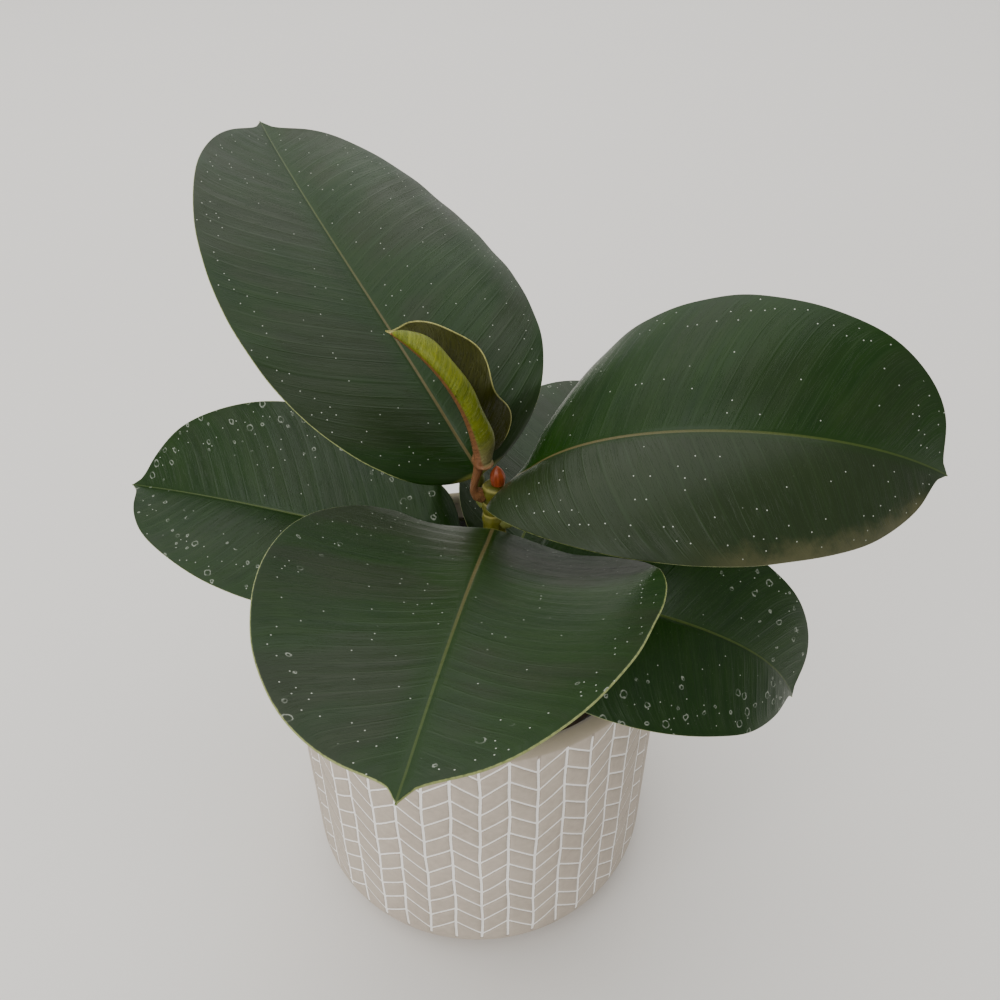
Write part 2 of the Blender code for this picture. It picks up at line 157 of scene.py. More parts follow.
def smoothstep(low, high, value):
    """0 below low, 1 above high, and 3s^2 - 2s^3 between, on arrays."""
    share = np.clip((value - low) / (high - low), 0.0, 1.0)
    return share * share * (3.0 - 2.0 * share)


# %% [markdown]
# ## Writing shader maths as plain expressions
#
# A finish mixes masks such as "near the midrib" or "inside a pin dot". Written as nodes by hand,
# each plus sign would cost three lines. A small class wraps a socket and overloads the operators,
# so that 1 - mask adds the Math node by itself. All other nodes come from one method of the finish.

# %% Sockets that do arithmetic
class Value:
    """A number that varies over a surface: one output socket of a material's nodes."""

    def __init__(self, finish, socket):
        self.finish = finish
        self.socket = socket

    def math(self, operation, *others):
        """Add one Math node whose inputs are this value and the others."""
        sockets = {0: self}
        for index, other in enumerate(others):
            sockets[index + 1] = other
        return self.finish.node("ShaderNodeMath", {"operation": operation}, sockets)

    def __add__(self, other):
        return self.math("ADD", other)

    def __sub__(self, other):
        return self.math("SUBTRACT", other)

    def __rsub__(self, other):
        return (self * -1.0) + other

    def __mul__(self, other):
        return self.math("MULTIPLY", other)

    def __truediv__(self, other):
        return self.math("DIVIDE", other)

    def __abs__(self):
        return self.math("ABSOLUTE")

    __radd__ = __add__
    __rmul__ = __mul__

    def most(self, other):
        """The larger of this value and another."""
        return self.math("MAXIMUM", other)

    def step(self, low, high):
        """0 at low and 1 at high with a soft rise between; with low over high it falls instead."""
        settings = {"interpolation_type": "SMOOTHSTEP"}
        if low < high:
            sockets = {"Value": self, "From Min": low, "From Max": high}
            return self.finish.node("ShaderNodeMapRange", settings, sockets)
        sockets = {"Value": self, "From Min": high, "From Max": low, "To Min": 1.0, "To Max": 0.0}
        return self.finish.node("ShaderNodeMapRange", settings, sockets)


class Finish:
    """A material with one Principled shader, and the nodes that feed it."""

    def __init__(self, name, roughness=0.5, specular=0.5):
        self.material = bpy.data.materials.new(name)
        self.material.use_nodes = True
        self.tree = self.material.node_tree
        self.shader = self.tree.nodes["Principled BSDF"]
        self.feed(self.shader, "Roughness", roughness)
        self.feed(self.shader, "Specular IOR Level", specular)

    def socket(self, sockets, key):
        """The enabled socket of that name, or the socket at that index."""
        if isinstance(key, int):
            return sockets[key]
        return next(one for one in sockets if one.name == key and one.enabled)

    def feed(self, node, key, value):
        """Link a value to a socket, or set the socket's own number or colour."""
        target = self.socket(node.inputs, key)
        if isinstance(value, Value):
            self.tree.links.new(value.socket, target)
        elif isinstance(value, (tuple, list)) and target.type == "RGBA":
            target.default_value = (*value[:3], 1.0)
        else:
            target.default_value = value

    def node(self, kind, settings=None, sockets=None, out=None):
        """Add a node: its settings first, then its sockets. Gives one output, or the first."""
        made = self.tree.nodes.new(kind)
        for key, value in (settings or {}).items():
            setattr(made, key, value)
        for key, value in (sockets or {}).items():
            self.feed(made, key, value)
        if out is None:
            return Value(self, next(one for one in made.outputs if one.enabled))
        return Value(self, self.socket(made.outputs, out))

    def parts(self, vector):
        """The three numbers of a vector."""
        first = self.node("ShaderNodeSeparateXYZ", None, {0: vector})
        return [Value(self, one) for one in first.socket.node.outputs]

    def join(self, x, y, z):
        """A vector from three numbers."""
        return self.node("ShaderNodeCombineXYZ", None, {0: x, 1: y, 2: z})

    def attribute(self, label):
        """The mesh attribute of that name, as three numbers."""
        return self.parts(self.node("ShaderNodeAttribute", {"attribute_name": label}, None, "Vector"))

    def place(self):
        """The point on the piece, in metres."""
        return self.node("ShaderNodeTexCoord", None, None, "Object")

    def noise(self, vector, scale, detail=3.0, rough=0.5):
        """Cloudy noise from 0 to 1, mostly near a half."""
        sockets = {"Vector": vector, "Scale": scale, "Detail": detail, "Roughness": rough}
        return self.node("ShaderNodeTexNoise", None, sockets)

    def cells(self, x, y, spread):
        """Scattered points on a plane: the distance to the nearest, and three numbers it drew."""
        sockets = {"Vector": self.join(x, y, 0.0), "Scale": 1.0, "Randomness": spread}
        far = self.node("ShaderNodeTexVoronoi", {"voronoi_dimensions": "2D"}, sockets, "Distance")
        return far, self.parts(Value(self, self.socket(far.socket.node.outputs, "Color")))

    def mix(self, mask, low, high):
        """A colour that goes from low to high as the mask goes from 0 to 1."""
        settings = {"data_type": "RGBA", "clamp_factor": True}
        return self.node("ShaderNodeMix", settings, {"Factor": mask, "A": low, "B": high})

    def colour(self, value):
        self.feed(self.shader, "Base Color", value)

    def roughness(self, value):
        self.feed(self.shader, "Roughness", value)

    def bump(self, height, distance, strength=1.0):
        """Small relief: height from 0 to 1 stands for this distance in metres."""
        sockets = {"Height": height, "Distance": distance, "Strength": strength}
        self.feed(self.shader, "Normal", self.node("ShaderNodeBump", None, sockets))


print("shader maths is ready")

# %% [markdown]
# ## The growth table
#
# The CAD model and this lesson grow the leaves from the same table. Each leaf leaves the stem at a
# height and a compass direction, its petiole rises to the blade's base, and then the midrib bends
# down and sideways while the two halves fold and curl. Angles are in degrees and lengths in
# millimetres. Pairs are for the left and the right half, as seen from the stem.

# %% Growth table
LEAVES = {
    "leaf_back_left": dict(
        height=61.4, compass=139, petiole=9.4, slope=72, turn=-7, swerve=-17,
        length=175, half_width=54.0, lean=-0.06, rise=48, level=12, arch=0.54, roll=(-12, 31),
        fold=(11, 29), curl=(-10, -55), widest=0.905, fullness=0.60),
    "leaf_right": dict(
        height=57.2, compass=-31, petiole=14.6, slope=79, turn=-10, swerve=59,
        length=151.5, half_width=41.2, lean=0.04, rise=64, level=-35, arch=0.81, roll=(3, 57),
        fold=(23, 17), curl=(-40, -50), widest=0.92, fullness=0.54),
    "leaf_front": dict(
        height=48.5, compass=267, petiole=13.0, slope=54, turn=-4, swerve=0,
        length=146.5, half_width=53.0, lean=0.02, rise=31, level=15, arch=0.47, roll=(-6, 17),
        fold=(-11, 2), curl=(43, 33), widest=0.95, fullness=0.595),
    "leaf_left": dict(
        height=34.0, compass=172, petiole=9.6, slope=31, turn=-3, swerve=-16,
        length=135, half_width=38.0, lean=-0.04, rise=8, level=-14, arch=1.30, roll=(-19, 12),
        fold=(10, 49), curl=(-27, 0), widest=0.89, fullness=0.635),
    "leaf_low_right": dict(
        height=26.3, compass=314, petiole=6.2, slope=52, turn=3, swerve=61,
        length=122, half_width=34.3, lean=-0.07, rise=26, level=-70, arch=1.33, roll=(16, 26),
        fold=(32, 1), curl=(-35, -11), widest=0.825, fullness=0.52),
    "leaf_back": dict(
        height=17.0, compass=67, petiole=12.0, slope=32, turn=0, swerve=0,
        length=116, half_width=35.0, lean=0.03, rise=18, level=-5, arch=1.0, roll=(0, 0),
        fold=(12, 12), curl=(-12, -12), widest=0.90, fullness=0.58),
    "young_leaf": dict(
        height=67.4, compass=196, petiole=12, slope=84, turn=-40, swerve=-5,
        length=55, half_width=14.0, lean=-0.14, rise=86, level=10, arch=1.2, roll=(47, -4),
        fold=(-22, 54), curl=(235, 26), widest=0.75, fullness=0.40, keel=2.0, rolled=True, frill=0.22),
}
BLADE_END = 0.955                    # share of the length where the blade ends and the drip tip starts
TIP_HALF_WIDTH = 0.026               # half width at the drip tip's root, for each metre of leaf
PETIOLE_LEAVES_AT = math.radians(35)
RIB_DEPTH = 1.1 * MM
VEIN_SPACING = 6.2                   # mm from one strong side vein to the next
VEIN_SLANT = 0.42                    # mm that a side vein runs forward for each mm across
print(len(LEAVES), "leaves in the table")

# %% [markdown]
# ## A leaf blade as a formula
#
# A rubber plant's leaf is a thick plate with a strong rib under it, a shallow groove over the rib,
# and many parallel side veins. It could be sculpted from a plane with modifiers, but a formula
# keeps it exactly on the CAD leaf and gives every point its own address for the finish: how far
# along, how far across, how far from the margin, and which side veins it lies between.
# First the midrib: short steps in a direction whose slope and heading change along the leaf.

# %% Midrib and width
def direction(slope, compass):
    """Unit vectors at a slope over level and a compass direction, in radians."""
    slope, compass = np.broadcast_arrays(slope, compass)
    level = np.cos(slope)
    return np.stack((level * np.cos(compass), level * np.sin(compass), np.sin(slope)), -1)


def blade_slope(leaf, u):
    """Slope of the midrib: from rise to level, by the power arch of the share u."""
    return np.radians(leaf["rise"] + (leaf["level"] - leaf["rise"]) * u ** leaf["arch"])


def blade_heading(leaf, u):
    """Heading of the midrib: the petiole's compass, plus turn, plus swerve times u."""
    return np.radians(leaf["compass"] + leaf["turn"] + leaf["swerve"] * u)


def midrib(leaf, base, u):
    """Places on the midrib: the sum of 2000 short steps, read off at each share u."""
    count = 2000
    middle = (np.arange(count) + 0.5) / count
    steps = direction(blade_slope(leaf, middle), blade_heading(leaf, middle))
    path = np.vstack((np.zeros(3), np.cumsum(steps, 0))) * leaf["length"] * MM / count
    shares = np.linspace(0.0, 1.0, count + 1)
    return base + np.stack([np.interp(u, shares, path[:, axis]) for axis in range(3)], -1)


def half_width(leaf, u, stalk_radius, half):
    """Cube root of the sum of cubes of an oval blade, a pointed drip tip and the stalk's radius."""
    share = np.minimum(u / BLADE_END, 1.0) ** leaf["widest"]
    broad = leaf["half_width"] * MM * (1.0 + leaf["lean"] * (1.0 - 2.0 * half))
    blade = broad * np.maximum(4.0 * share * (1.0 - share), 0.0) ** leaf["fullness"]
    tip = TIP_HALF_WIDTH * leaf["length"] * MM * np.maximum(1.0 - u, 0.003) / (1.0 - BLADE_END)
    tip = tip * smoothstep(0.6, 0.9, u)
    stalk = stalk_radius * (1.0 - smoothstep(0.0, 0.15, u))
    return (blade ** 3 + tip ** 3 + stalk ** 3) ** (1.0 / 3.0)


def soft_width(leaf, u, stalk_radius, half):
    """The half width with its corners at the drip tip rounded: a mean of the widths close by."""
    reach = 0.024 * smoothstep(0.88, 0.94, u) * (1.0 - smoothstep(0.960, 0.998, u))
    shift = np.linspace(-1.0, 1.0, 15)[:, None]
    weight = (1.0 - shift ** 2) / (1.0 - shift ** 2).sum()
    return (weight * half_width(leaf, np.clip(u + reach * shift, 0.0, 1.0), stalk_radius, half)).sum(0)


def side_and_up(slope, heading, roll):
    """Sideways and upward directions of the leaf, turned about its midrib by roll."""
    forward = direction(slope, heading)
    side = np.stack((-np.sin(heading), np.cos(heading), np.zeros_like(heading)), -1)
    up = np.cross(forward, side)
    cos, sin = np.cos(roll)[..., None], np.sin(roll)[..., None]
    return side * cos + up * sin, up * cos - side * sin


# %% [markdown]
# Next the stations along the leaf. The petiole starts a little inside the stem, where a real one
# grows out of the bark, and follows a smooth curve with the stem's direction at one end and the
# blade's at the other. The rows lie closer at the blade's base and at the drip tip, where the
# outline changes fast.

# %% Stations along a leaf
def blade_shares():
    """Shares of the blade's length where a row of points lies."""
    pieces = (np.linspace(0.0, 0.10, 25), np.linspace(0.10, 0.88, 131)[1:],
              np.linspace(0.88, 0.965, 46)[1:], np.linspace(0.965, 1.0, 26)[1:])
    return np.concatenate(pieces)


def petiole_curve(leaf, start, base, t):
    """Cubic curve from start to base that leaves the stem at 35 degrees and meets the midrib."""
    compass = math.radians(leaf["compass"])
    leaving = direction(PETIOLE_LEAVES_AT, compass)
    arriving = direction(blade_slope(leaf, np.zeros(1)), blade_heading(leaf, np.zeros(1)))[0]
    reach = np.linalg.norm(base - start)
    t = t[:, None]
    inside = np.minimum(t, 0.0)
    t = np.maximum(t, 0.0)
    curve = (start * (2 * t ** 3 - 3 * t ** 2 + 1) + base * (3 * t ** 2 - 2 * t ** 3)
             + leaving * reach * (t ** 3 - 2 * t ** 2 + t) + arriving * reach * (t ** 3 - t ** 2))
    return curve + leaving * reach * inside


def leaf_rows(leaf, stalk_radius):
    """Every row's place, side, up, half widths, flatness, and millimetres along the leaf."""
    compass = math.radians(leaf["compass"])
    node = np.array((STEM_X, 0.0, SOIL_Z + leaf["height"] * MM))
    outward = np.array((math.cos(compass), math.sin(compass), 0.0))
    clear = STEM_RADIUS + STEM_NODE_SWELL + GAP + stalk_radius * math.sin(PETIOLE_LEAVES_AT)
    start = node + outward * clear
    rising = direction(math.radians(leaf["slope"]), compass)
    base = node + outward * STEM_RADIUS + rising * leaf["petiole"] * MM
    reach = np.linalg.norm(base - start)
    t = np.concatenate((np.linspace(-2.2 * MM / reach, 0.0, 6)[:-1], np.linspace(0.0, 1.0, 24)[:-1]))
    u = blade_shares()
    blend = np.clip(t, 0.0, 1.0)
    slope = PETIOLE_LEAVES_AT * (1 - blend) + blade_slope(leaf, np.zeros(1)) * blend
    heading = compass * (1 - blend) + blade_heading(leaf, np.zeros(1)) * blend
    roll = math.radians(leaf["roll"][0]) * blend
    place = np.concatenate((petiole_curve(leaf, start, base, t), midrib(leaf, base, u)))
    slope = np.concatenate((slope, blade_slope(leaf, u)))
    heading = np.concatenate((heading, blade_heading(leaf, u)))
    roll = np.concatenate((roll, np.radians(leaf["roll"][0] + leaf["roll"][1] * u)))
    side, up = side_and_up(slope, heading, roll)
    swollen = stalk_radius * (1.0 + 0.35 * np.exp(-(np.maximum(t, 0.0) * reach / (1.4 * MM)) ** 2))
    frill = leaf.get("frill", 0.0) * np.cos((u - 0.14) * 13.0) * (1.0 - smoothstep(0.25, 0.9, u))
    blade = [soft_width(leaf, u, stalk_radius, half) * (1.0 + frill * half) for half in (0, 1)]
    widths = [np.concatenate((swollen, one)) for one in blade]
    flat = np.concatenate((np.zeros(len(t)), smoothstep(0.0, 0.10, u)))
    bend = np.concatenate((np.zeros(len(t)), smoothstep(0.0, 0.03 if "rolled" in leaf else 0.10, u)))
    along = np.concatenate((t * reach - reach, u * leaf["length"] * MM)) / MM
    stalk = np.concatenate((swollen, np.full(len(u), stalk_radius)))
    return place, side, up, np.stack(widths, -1), flat, bend, along, stalk


# %% [markdown]
# Then the cross-section. Its columns are set in millimetres where that matters: five of them round
# off the margin and three shape the rib, and the rest share out the blade. Each half starts at its
# fold angle and curls on an arc. An arc keeps the blade's true width, however far it curls, which
# a plain sideways bend of the points would not.

# %% Cross-section of a leaf
MARGIN_COLUMNS = np.array((0.0, 0.05, 0.18, 0.38, 0.90))
RIB_COLUMNS = np.array((1.8, 1.1, 0.5))
BLADE_COLUMNS = 20


def half_columns(width):
    """Distances from the midrib to each column of one half, from the margin in, in metres."""
    width = width[:, None] / MM
    margin = width - MARGIN_COLUMNS * np.minimum(1.0, width / 3.0)
    rib = RIB_COLUMNS * np.minimum(1.0, width / 9.0)
    share = np.linspace(1.0, 0.0, BLADE_COLUMNS + 1)[1:-1]
    blade = rib[:, :1] + (margin[:, -1:] - rib[:, :1]) * share
    return np.concatenate((margin, blade, rib), 1) * MM


def section(widths):
    """Signed distance across for each column, left margin to right over the top and back under."""
    left = half_columns(widths[:, 0])
    right = -half_columns(widths[:, 1])
    middle = np.zeros((len(widths), 1))
    over = np.concatenate((left, middle, right[:, ::-1]), 1)
    under = over[:, ::-1][:, 1:-1]
    top = np.ones(over.shape[1])
    top[[0, -1]] = 0.5
    return np.concatenate((over, under), 1), np.concatenate((top, np.zeros(under.shape[1])))


def fold_and_curl(leaf, across, widths, bend):
    """How far out and how high each column lies, the slope there, and the half width.

    With a fold angle f and a curl c spread over the half width W, the slope at a reach d is
    f + c d / W, so out = W / c (sin slope - sin f) and lift = -W / c (cos slope - cos f).
    """
    left = across >= 0.0
    width = np.where(left, widths[:, :1], widths[:, 1:])
    full = width if "rolled" in leaf else leaf["half_width"] * MM
    fold = np.radians(np.where(left, leaf["fold"][0], leaf["fold"][1])) * bend
    curl = np.radians(np.where(left, leaf["curl"][0], leaf["curl"][1])) * bend + 1e-5
    reach = np.abs(across)
    soft = 1.3 * MM
    eased = (np.sqrt(reach ** 2 + soft ** 2) - soft) * width / (np.sqrt(width ** 2 + soft ** 2) - soft)
    tilt = fold + curl * reach / full
    out = full / curl * (np.sin(tilt) - np.sin(fold))
    lift = -full / curl * (np.cos(fold + curl * eased / full) - np.cos(fold))
    return out, lift, tilt * smoothstep(0.0, 2.0 * MM, reach), width


# %% [markdown]
# The plate itself has relief, because a glossy leaf shows every fold of its surface. The top has a
# groove over the midrib and a soft ripple for each side vein. The underside carries the rib. The
# margin is rounded, so that it catches a thin line of light.

# %% Relief of a leaf
def vein_ripple(vein, reach, edge, flat, sign, seed):
    """One cosine wave per side vein, whose spacing wanders, plus a longer swell on each half."""
    phase = vein / VEIN_SPACING + 0.30 * np.sin(vein / 17.0 + seed) + 0.18 * np.sin(vein / 7.3 + 2 * seed)
    relief = smoothstep(1.5, 7.0, reach / MM) * smoothstep(0.8, 5.0, edge) * flat
    ripple = 0.055 * MM * np.cos(2 * np.pi * phase) * relief
    return ripple + 0.09 * MM * np.sin(vein / 11.0 + 3 * seed + 2.0 * sign) * relief


def plate_height(leaf, width, reach, top, thickness, ripple):
    """Height over the plate's middle: half the thickness, the groove above or the rib below."""
    inward = np.clip((width - reach) / (0.42 * thickness), 0, 1)
    round_off = np.sqrt(np.clip(1.0 - (1.0 - inward) ** 2, 0, 1))
    groove = -0.30 * MM * np.exp(-(reach / (0.75 * MM)) ** 2) * np.minimum(1.0, width / (9.0 * MM))
    rib = RIB_DEPTH * np.minimum(width / (leaf["half_width"] * MM), 1.0) * (thickness / (0.9 * MM))
    rib = rib * leaf.get("keel", 1.0)
    rib_shape = rib * np.exp(-(reach / (0.9 * MM + rib * 0.5)) ** 2)
    upper = thickness / 2 * round_off + groove + ripple
    lower = -thickness / 2 * round_off - rib_shape + ripple * 1.2
    return np.where(top > 0.75, upper, np.where(top < 0.25, lower, 0.0))


# %% [markdown]
# Now everything comes together in one grid. Near the stem the section is the round stalk, and it
# flattens into the plate along the first tenth of the blade. The grid carries two attributes for
# the finish: the address of a point on its leaf, and the zone it lies in.

# %% Grid of a leaf
def leaf_grid(leaf, stalk_radius, thickness, wave, seed):
    """Grid of points: midrib + side * out + up * lift + the plate's height along its own up."""
    place, side, up, widths, flat, bend, along, stalk = leaf_rows(leaf, stalk_radius)
    across, top = section(widths)
    flat = flat[:, None]
    out, lift, tilt, width = fold_and_curl(leaf, across, widths, bend[:, None])
    reach = np.abs(across)
    sign = np.where(across >= 0.0, 1.0, -1.0)
    s = along[:, None] * np.ones_like(across)
    edge = (width - reach) / MM
    vein = s - VEIN_SLANT * reach / MM - 5.0 * (reach / width) ** 5
    ripple = vein_ripple(vein, reach, edge, flat, sign, seed)
    circle = np.sqrt(np.clip(1.0 - (reach / width) ** 2, 0.0, 1.0)) * stalk[:, None] * (2 * top - 1)
    height = (1.0 - flat) * circle + flat * plate_height(leaf, width, reach, top, thickness, ripple)
    waves = np.sin(s / 5.1 + seed) + 0.6 * np.sin(s / 2.9 + 2.3 * seed + sign)
    height = height + wave * MM * waves * (reach / width) ** 3 * flat * np.minimum(1.0, width / (14 * MM))
    side, up, place = side[:, None], up[:, None], place[:, None]
    rise = up * np.cos(tilt)[..., None] - side * (np.sin(tilt) * sign)[..., None]
    grid = place + side * (out * sign)[..., None] + up * lift[..., None] + rise * height[..., None]
    true_edge = edge / np.sqrt(1.0 + np.gradient(width[:, 0], along * MM)[:, None] ** 2)
    address = np.stack((vein, across / MM, s), -1)
    zone = np.stack((true_edge, top * np.ones_like(s), flat * np.ones_like(s)), -1)
    return grid, address, zone


print("a leaf has %d rows of points" % len(leaf_rows(LEAVES["leaf_front"], 1.7 * MM)[0]))

# %% [markdown]
# ## The finish of a grown leaf
#
# An old leaf is a deep green under a waxy gloss, and in patches its warm brownish sheen is painted into
# the colour.
# A painted picture could show that, but it would have to be unwrapped and would blur close up. So
# the finish is drawn on the leaf's own address, and a vein stays on its leaf wherever it bends.
# This first cell keeps what every layer needs: the address, the zone, and two maps for noise. The
# flat map is even. The streak map is long along the side veins, so noise on it makes streaks.

# %% Layers of a leaf finish
LEAF_DEEP = (0.0040, 0.0235, 0.0009)
LEAF_WARM = (0.0095, 0.0350, 0.0015)
# painted sheen: the warm brownish reflection on the gloss, put into the colour
LEAF_PAINTED_SHEEN = (0.0180, 0.0240, 0.0100)


class LeafFinish(Finish):
    """A finish that knows where each point of its leaf lies, in millimetres."""

    def __init__(self, name, seed, stretch):
        super().__init__(name, specular=0.26)
        self.seed = seed
        self.vein, self.across, self.along = self.attribute("address")
        self.edge, self.top, self.flat = self.attribute("zone")
        self.reach = abs(self.across)
        self.flat_map = self.join(self.along * 0.01 + seed, self.across * 0.01, 0.0)
        self.streak_map = self.join(self.vein * 0.1 + seed, self.across * stretch, seed)


def blade_green(f, cloud, bands, painted_sheen, painted_sheen_half):
    """Deep to warm green in clouds and bands, with brownish patches of painted sheen, or one half all
    painted sheen.
    """
    mottle = (cloud - 0.5) * 1.6 + (bands - 0.5) * 1.5 + 0.5
    green = f.mix(mottle, LEAF_DEEP, LEAF_WARM)
    # painted sheen: brownish patches, or a whole half of the leaf, stand in for the warm reflection on
    # the gloss
    sheen_patch_map = f.join(f.vein * 0.022 + f.seed, f.across * 0.010, f.seed)
    sheen_patch = f.noise(sheen_patch_map, 1.7, 3.0, 0.6).step(0.40, 0.60) * painted_sheen * f.reach.step(1.0, 9.0)
    return f.mix(sheen_patch.most(f.across.step(0.6, -1.0) * painted_sheen_half), green, LEAF_PAINTED_SHEEN)


print("green runs from", LEAF_DEEP, "to", LEAF_WARM)

# %% [markdown]
# The side veins run from the midrib to the margin, strong ones at an even spacing that wanders and
# thin ones between them. The midrib is tan or yellow green, and narrows and fades towards the tip.

# %% Veins and midrib
VEIN_PALE = (0.024, 0.052, 0.016)
RIB_GREEN = (0.085, 0.118, 0.024)
RIB_TAN = (0.130, 0.102, 0.042)


def side_veins(f):
    """Strong veins where the phase is whole, and thin ones where streaky noise crosses a half."""
    wander = f.noise(f.join(f.vein * 0.06 + f.seed, f.across * 0.004, 3.0), 1.0, 1.0)
    phase = f.vein / VEIN_SPACING + wander * 2.2
    strong = f.node("ShaderNodeMath", {"operation": "PINGPONG"}, {0: phase, 1: 0.5}).step(0.085, 0.0)
    thin = abs(f.noise(f.streak_map, 11.0, 2.0, 0.5) - 0.5).step(0.030, 0.0)
    return strong, thin


def add_midrib(f, green, length, rib):
    """A band that narrows from 0.56 to 0.24 mm each side and fades by half along the leaf."""
    green = f.mix(f.reach.step(3.6, 1.0) * 0.35, green, LEAF_WARM)
    band = (f.reach / (0.56 - f.along * (0.32 / length))).step(1.35, 0.75)
    fade = 0.84 - f.along * (0.46 / length)
    speck = f.noise(f.flat_map, 60.0, 2.0)
    tone = f.mix((f.along / length).step(0.25, 0.80), rib, RIB_GREEN)
    return f.mix(band * fade * (0.75 + speck * 0.4), green, tone)


# %% [markdown]
# Two kinds of white mark lie on the leaves. Pin dots are tiny lime glands, and most of them stand along
# the margin. The rings are painted highlights: the bright rims of water drops lying on the leaf, uneven,
# broken and of all sizes. Both come from scattered points: a dot is near its point, and a ring is at a
# certain distance from it.

# %% Pin dots and painted drop highlights
def pin_dots(f):
    """Dots 0.2 mm across at some of the points, and at more of them in a band by the margin."""
    far, drawn = f.cells(f.across * 0.29 + f.seed, f.along * 0.29, 0.72)
    by_margin = f.edge.step(13.0, 6.0) * f.edge.step(1.6, 3.4)
    chosen = (drawn[0] + by_margin * 0.32).step(0.87, 0.89)
    return far.step(0.068, 0.036) * chosen * f.flat.step(0.5, 0.9) * f.reach.step(2.0, 3.0) * 0.75


def painted_drop_highlights_and_dust(f, share):
    """Painted highlights of water drops as broken white rings round some of the points, more near the
    margin, and faint lime dust.
    """
    drift = (f.noise(f.flat_map, 70.0, 2.0) - 0.5) * 0.30
    far, drawn = f.cells(f.along * 0.22 + drift + f.seed * 3.0, f.across * 0.22 - drift, 1.0)
    # painted highlight: a white ring stands for the bright rim of a water drop
    highlight_ring = abs(far - (0.070 + drawn[1] * drawn[1] * 0.20)).step(0.066, 0.006)
    patchy = f.noise(f.flat_map, 45.0, 2.0).step(0.38, 0.60)
    outer = f.edge.step(26.0, 10.0) * 0.75 + 0.25
    kept = (drawn[2] * outer).step(1.0 - share, 1.02 - share)
    dust = f.noise(f.flat_map, 150.0, 3.0, 0.7).step(0.66, 0.74) * 0.30 * share
    return (highlight_ring * kept * (0.08 + patchy * 0.34) * f.flat.step(0.5, 0.9)).most(dust)


# %% [markdown]
# The underside is paler and matt, with the veins lighter still. The margin is a thin cream line.
# The last cell stacks all the layers and adds the gloss: streaky, like the surface itself, duller
# on the marks and on the underside.

# %% Leaf finish
MARGIN_CREAM = (0.34, 0.38, 0.14)
UNDER_GREEN = (0.085, 0.135, 0.035)
UNDER_PALE = (0.20, 0.25, 0.09)
UNDER_DEEP = (0.070, 0.110, 0.030)
# white of the pin dots, and of the painted highlights on water drops
DOT_AND_HIGHLIGHT_WHITE = (0.62, 0.66, 0.58)
WORN_TAN = (0.105, 0.098, 0.045)
STALK_GREEN = (0.085, 0.120, 0.018)
STALK_TAN = (0.150, 0.150, 0.040)


def underside(f, cloud, strong, thin):
    """Pale green with lighter veins and a lighter rib."""
    under = f.mix((strong * 0.6).most(thin * 0.4) * f.edge.step(0.3, 4.0), UNDER_GREEN, UNDER_PALE)
    under = f.mix((f.reach / 2.2).step(1.1, 0.7), under, UNDER_PALE)
    return f.mix(cloud * 0.5, under, UNDER_DEEP)


def worn_patch(f, length, scuff):
    """A ragged band along the outer half of the right margin."""
    torn = f.noise(f.flat_map, 14.0, 5.0, 0.65)
    right = f.across.step(-6.0, -14.0) * (f.along / length).step(0.42, 0.62)
    return right * (f.edge + torn * 14.0).step(15.0, 6.0) * scuff


def leaf_finish(name, length, seed, rib, drop_highlights=0.0, scuff=0.0, painted_sheen=0.0, painted_sheen_half=0.0):
    """All layers of a grown leaf, from the green up to the margin and the stalk."""
    f = LeafFinish(name, seed, 0.006)
    cloud = f.noise(f.flat_map, 6.0, 4.0, 0.55)
    bands = f.noise(f.streak_map, 3.5, 3.0, 0.6)
    strong, thin = side_veins(f)
    veins = (strong * 0.26).most(thin * 0.17) * f.reach.step(0.4, 2.5) * f.edge.step(0.3, 4.0)
    green = blade_green(f, cloud, bands, painted_sheen, painted_sheen_half)
    green = f.mix(veins * (0.55 + cloud * 0.5), green, VEIN_PALE)
    green = add_midrib(f, green, length, rib)
    dots_and_highlights = pin_dots(f)
    # painted highlights of water drops join the pin dots
    if drop_highlights > 0:
        dots_and_highlights = dots_and_highlights.most(painted_drop_highlights_and_dust(f, drop_highlights))
    green = f.mix(dots_and_highlights * f.top.step(0.6, 0.9), green, DOT_AND_HIGHLIGHT_WHITE)
    if scuff > 0:
        green = f.mix(worn_patch(f, length, scuff), green, WORN_TAN)
    on_top = f.top.step(0.35, 0.65)
    surface = f.mix(on_top, underside(f, cloud, strong, thin), green)
    thin_edge = (f.edge + f.noise(f.flat_map, 90.0, 2.0) * 0.25).step(0.34, 0.10)
    surface = f.mix(thin_edge * f.flat.step(0.4, 0.9) * 0.85, surface, MARGIN_CREAM)
    stalk = f.mix(f.noise(f.flat_map, 40.0, 3.0), STALK_GREEN, STALK_TAN)
    f.colour(f.mix(f.flat.step(0.05, 0.0), surface, stalk))
    haze = f.noise(f.flat_map, 2.6, 4.0, 0.6)
    f.roughness(0.23 + haze * 0.16 + bands * 0.12 + dots_and_highlights * 0.35 + (1 - on_top) * 0.26)
    grain = f.noise(f.flat_map, 320.0, 2.0)
    f.bump(veins * 1.2 + bands * 1.1 + grain * 0.10, 0.17 * MM, 0.85)
    return f.material


print("leaf finishes are ready")
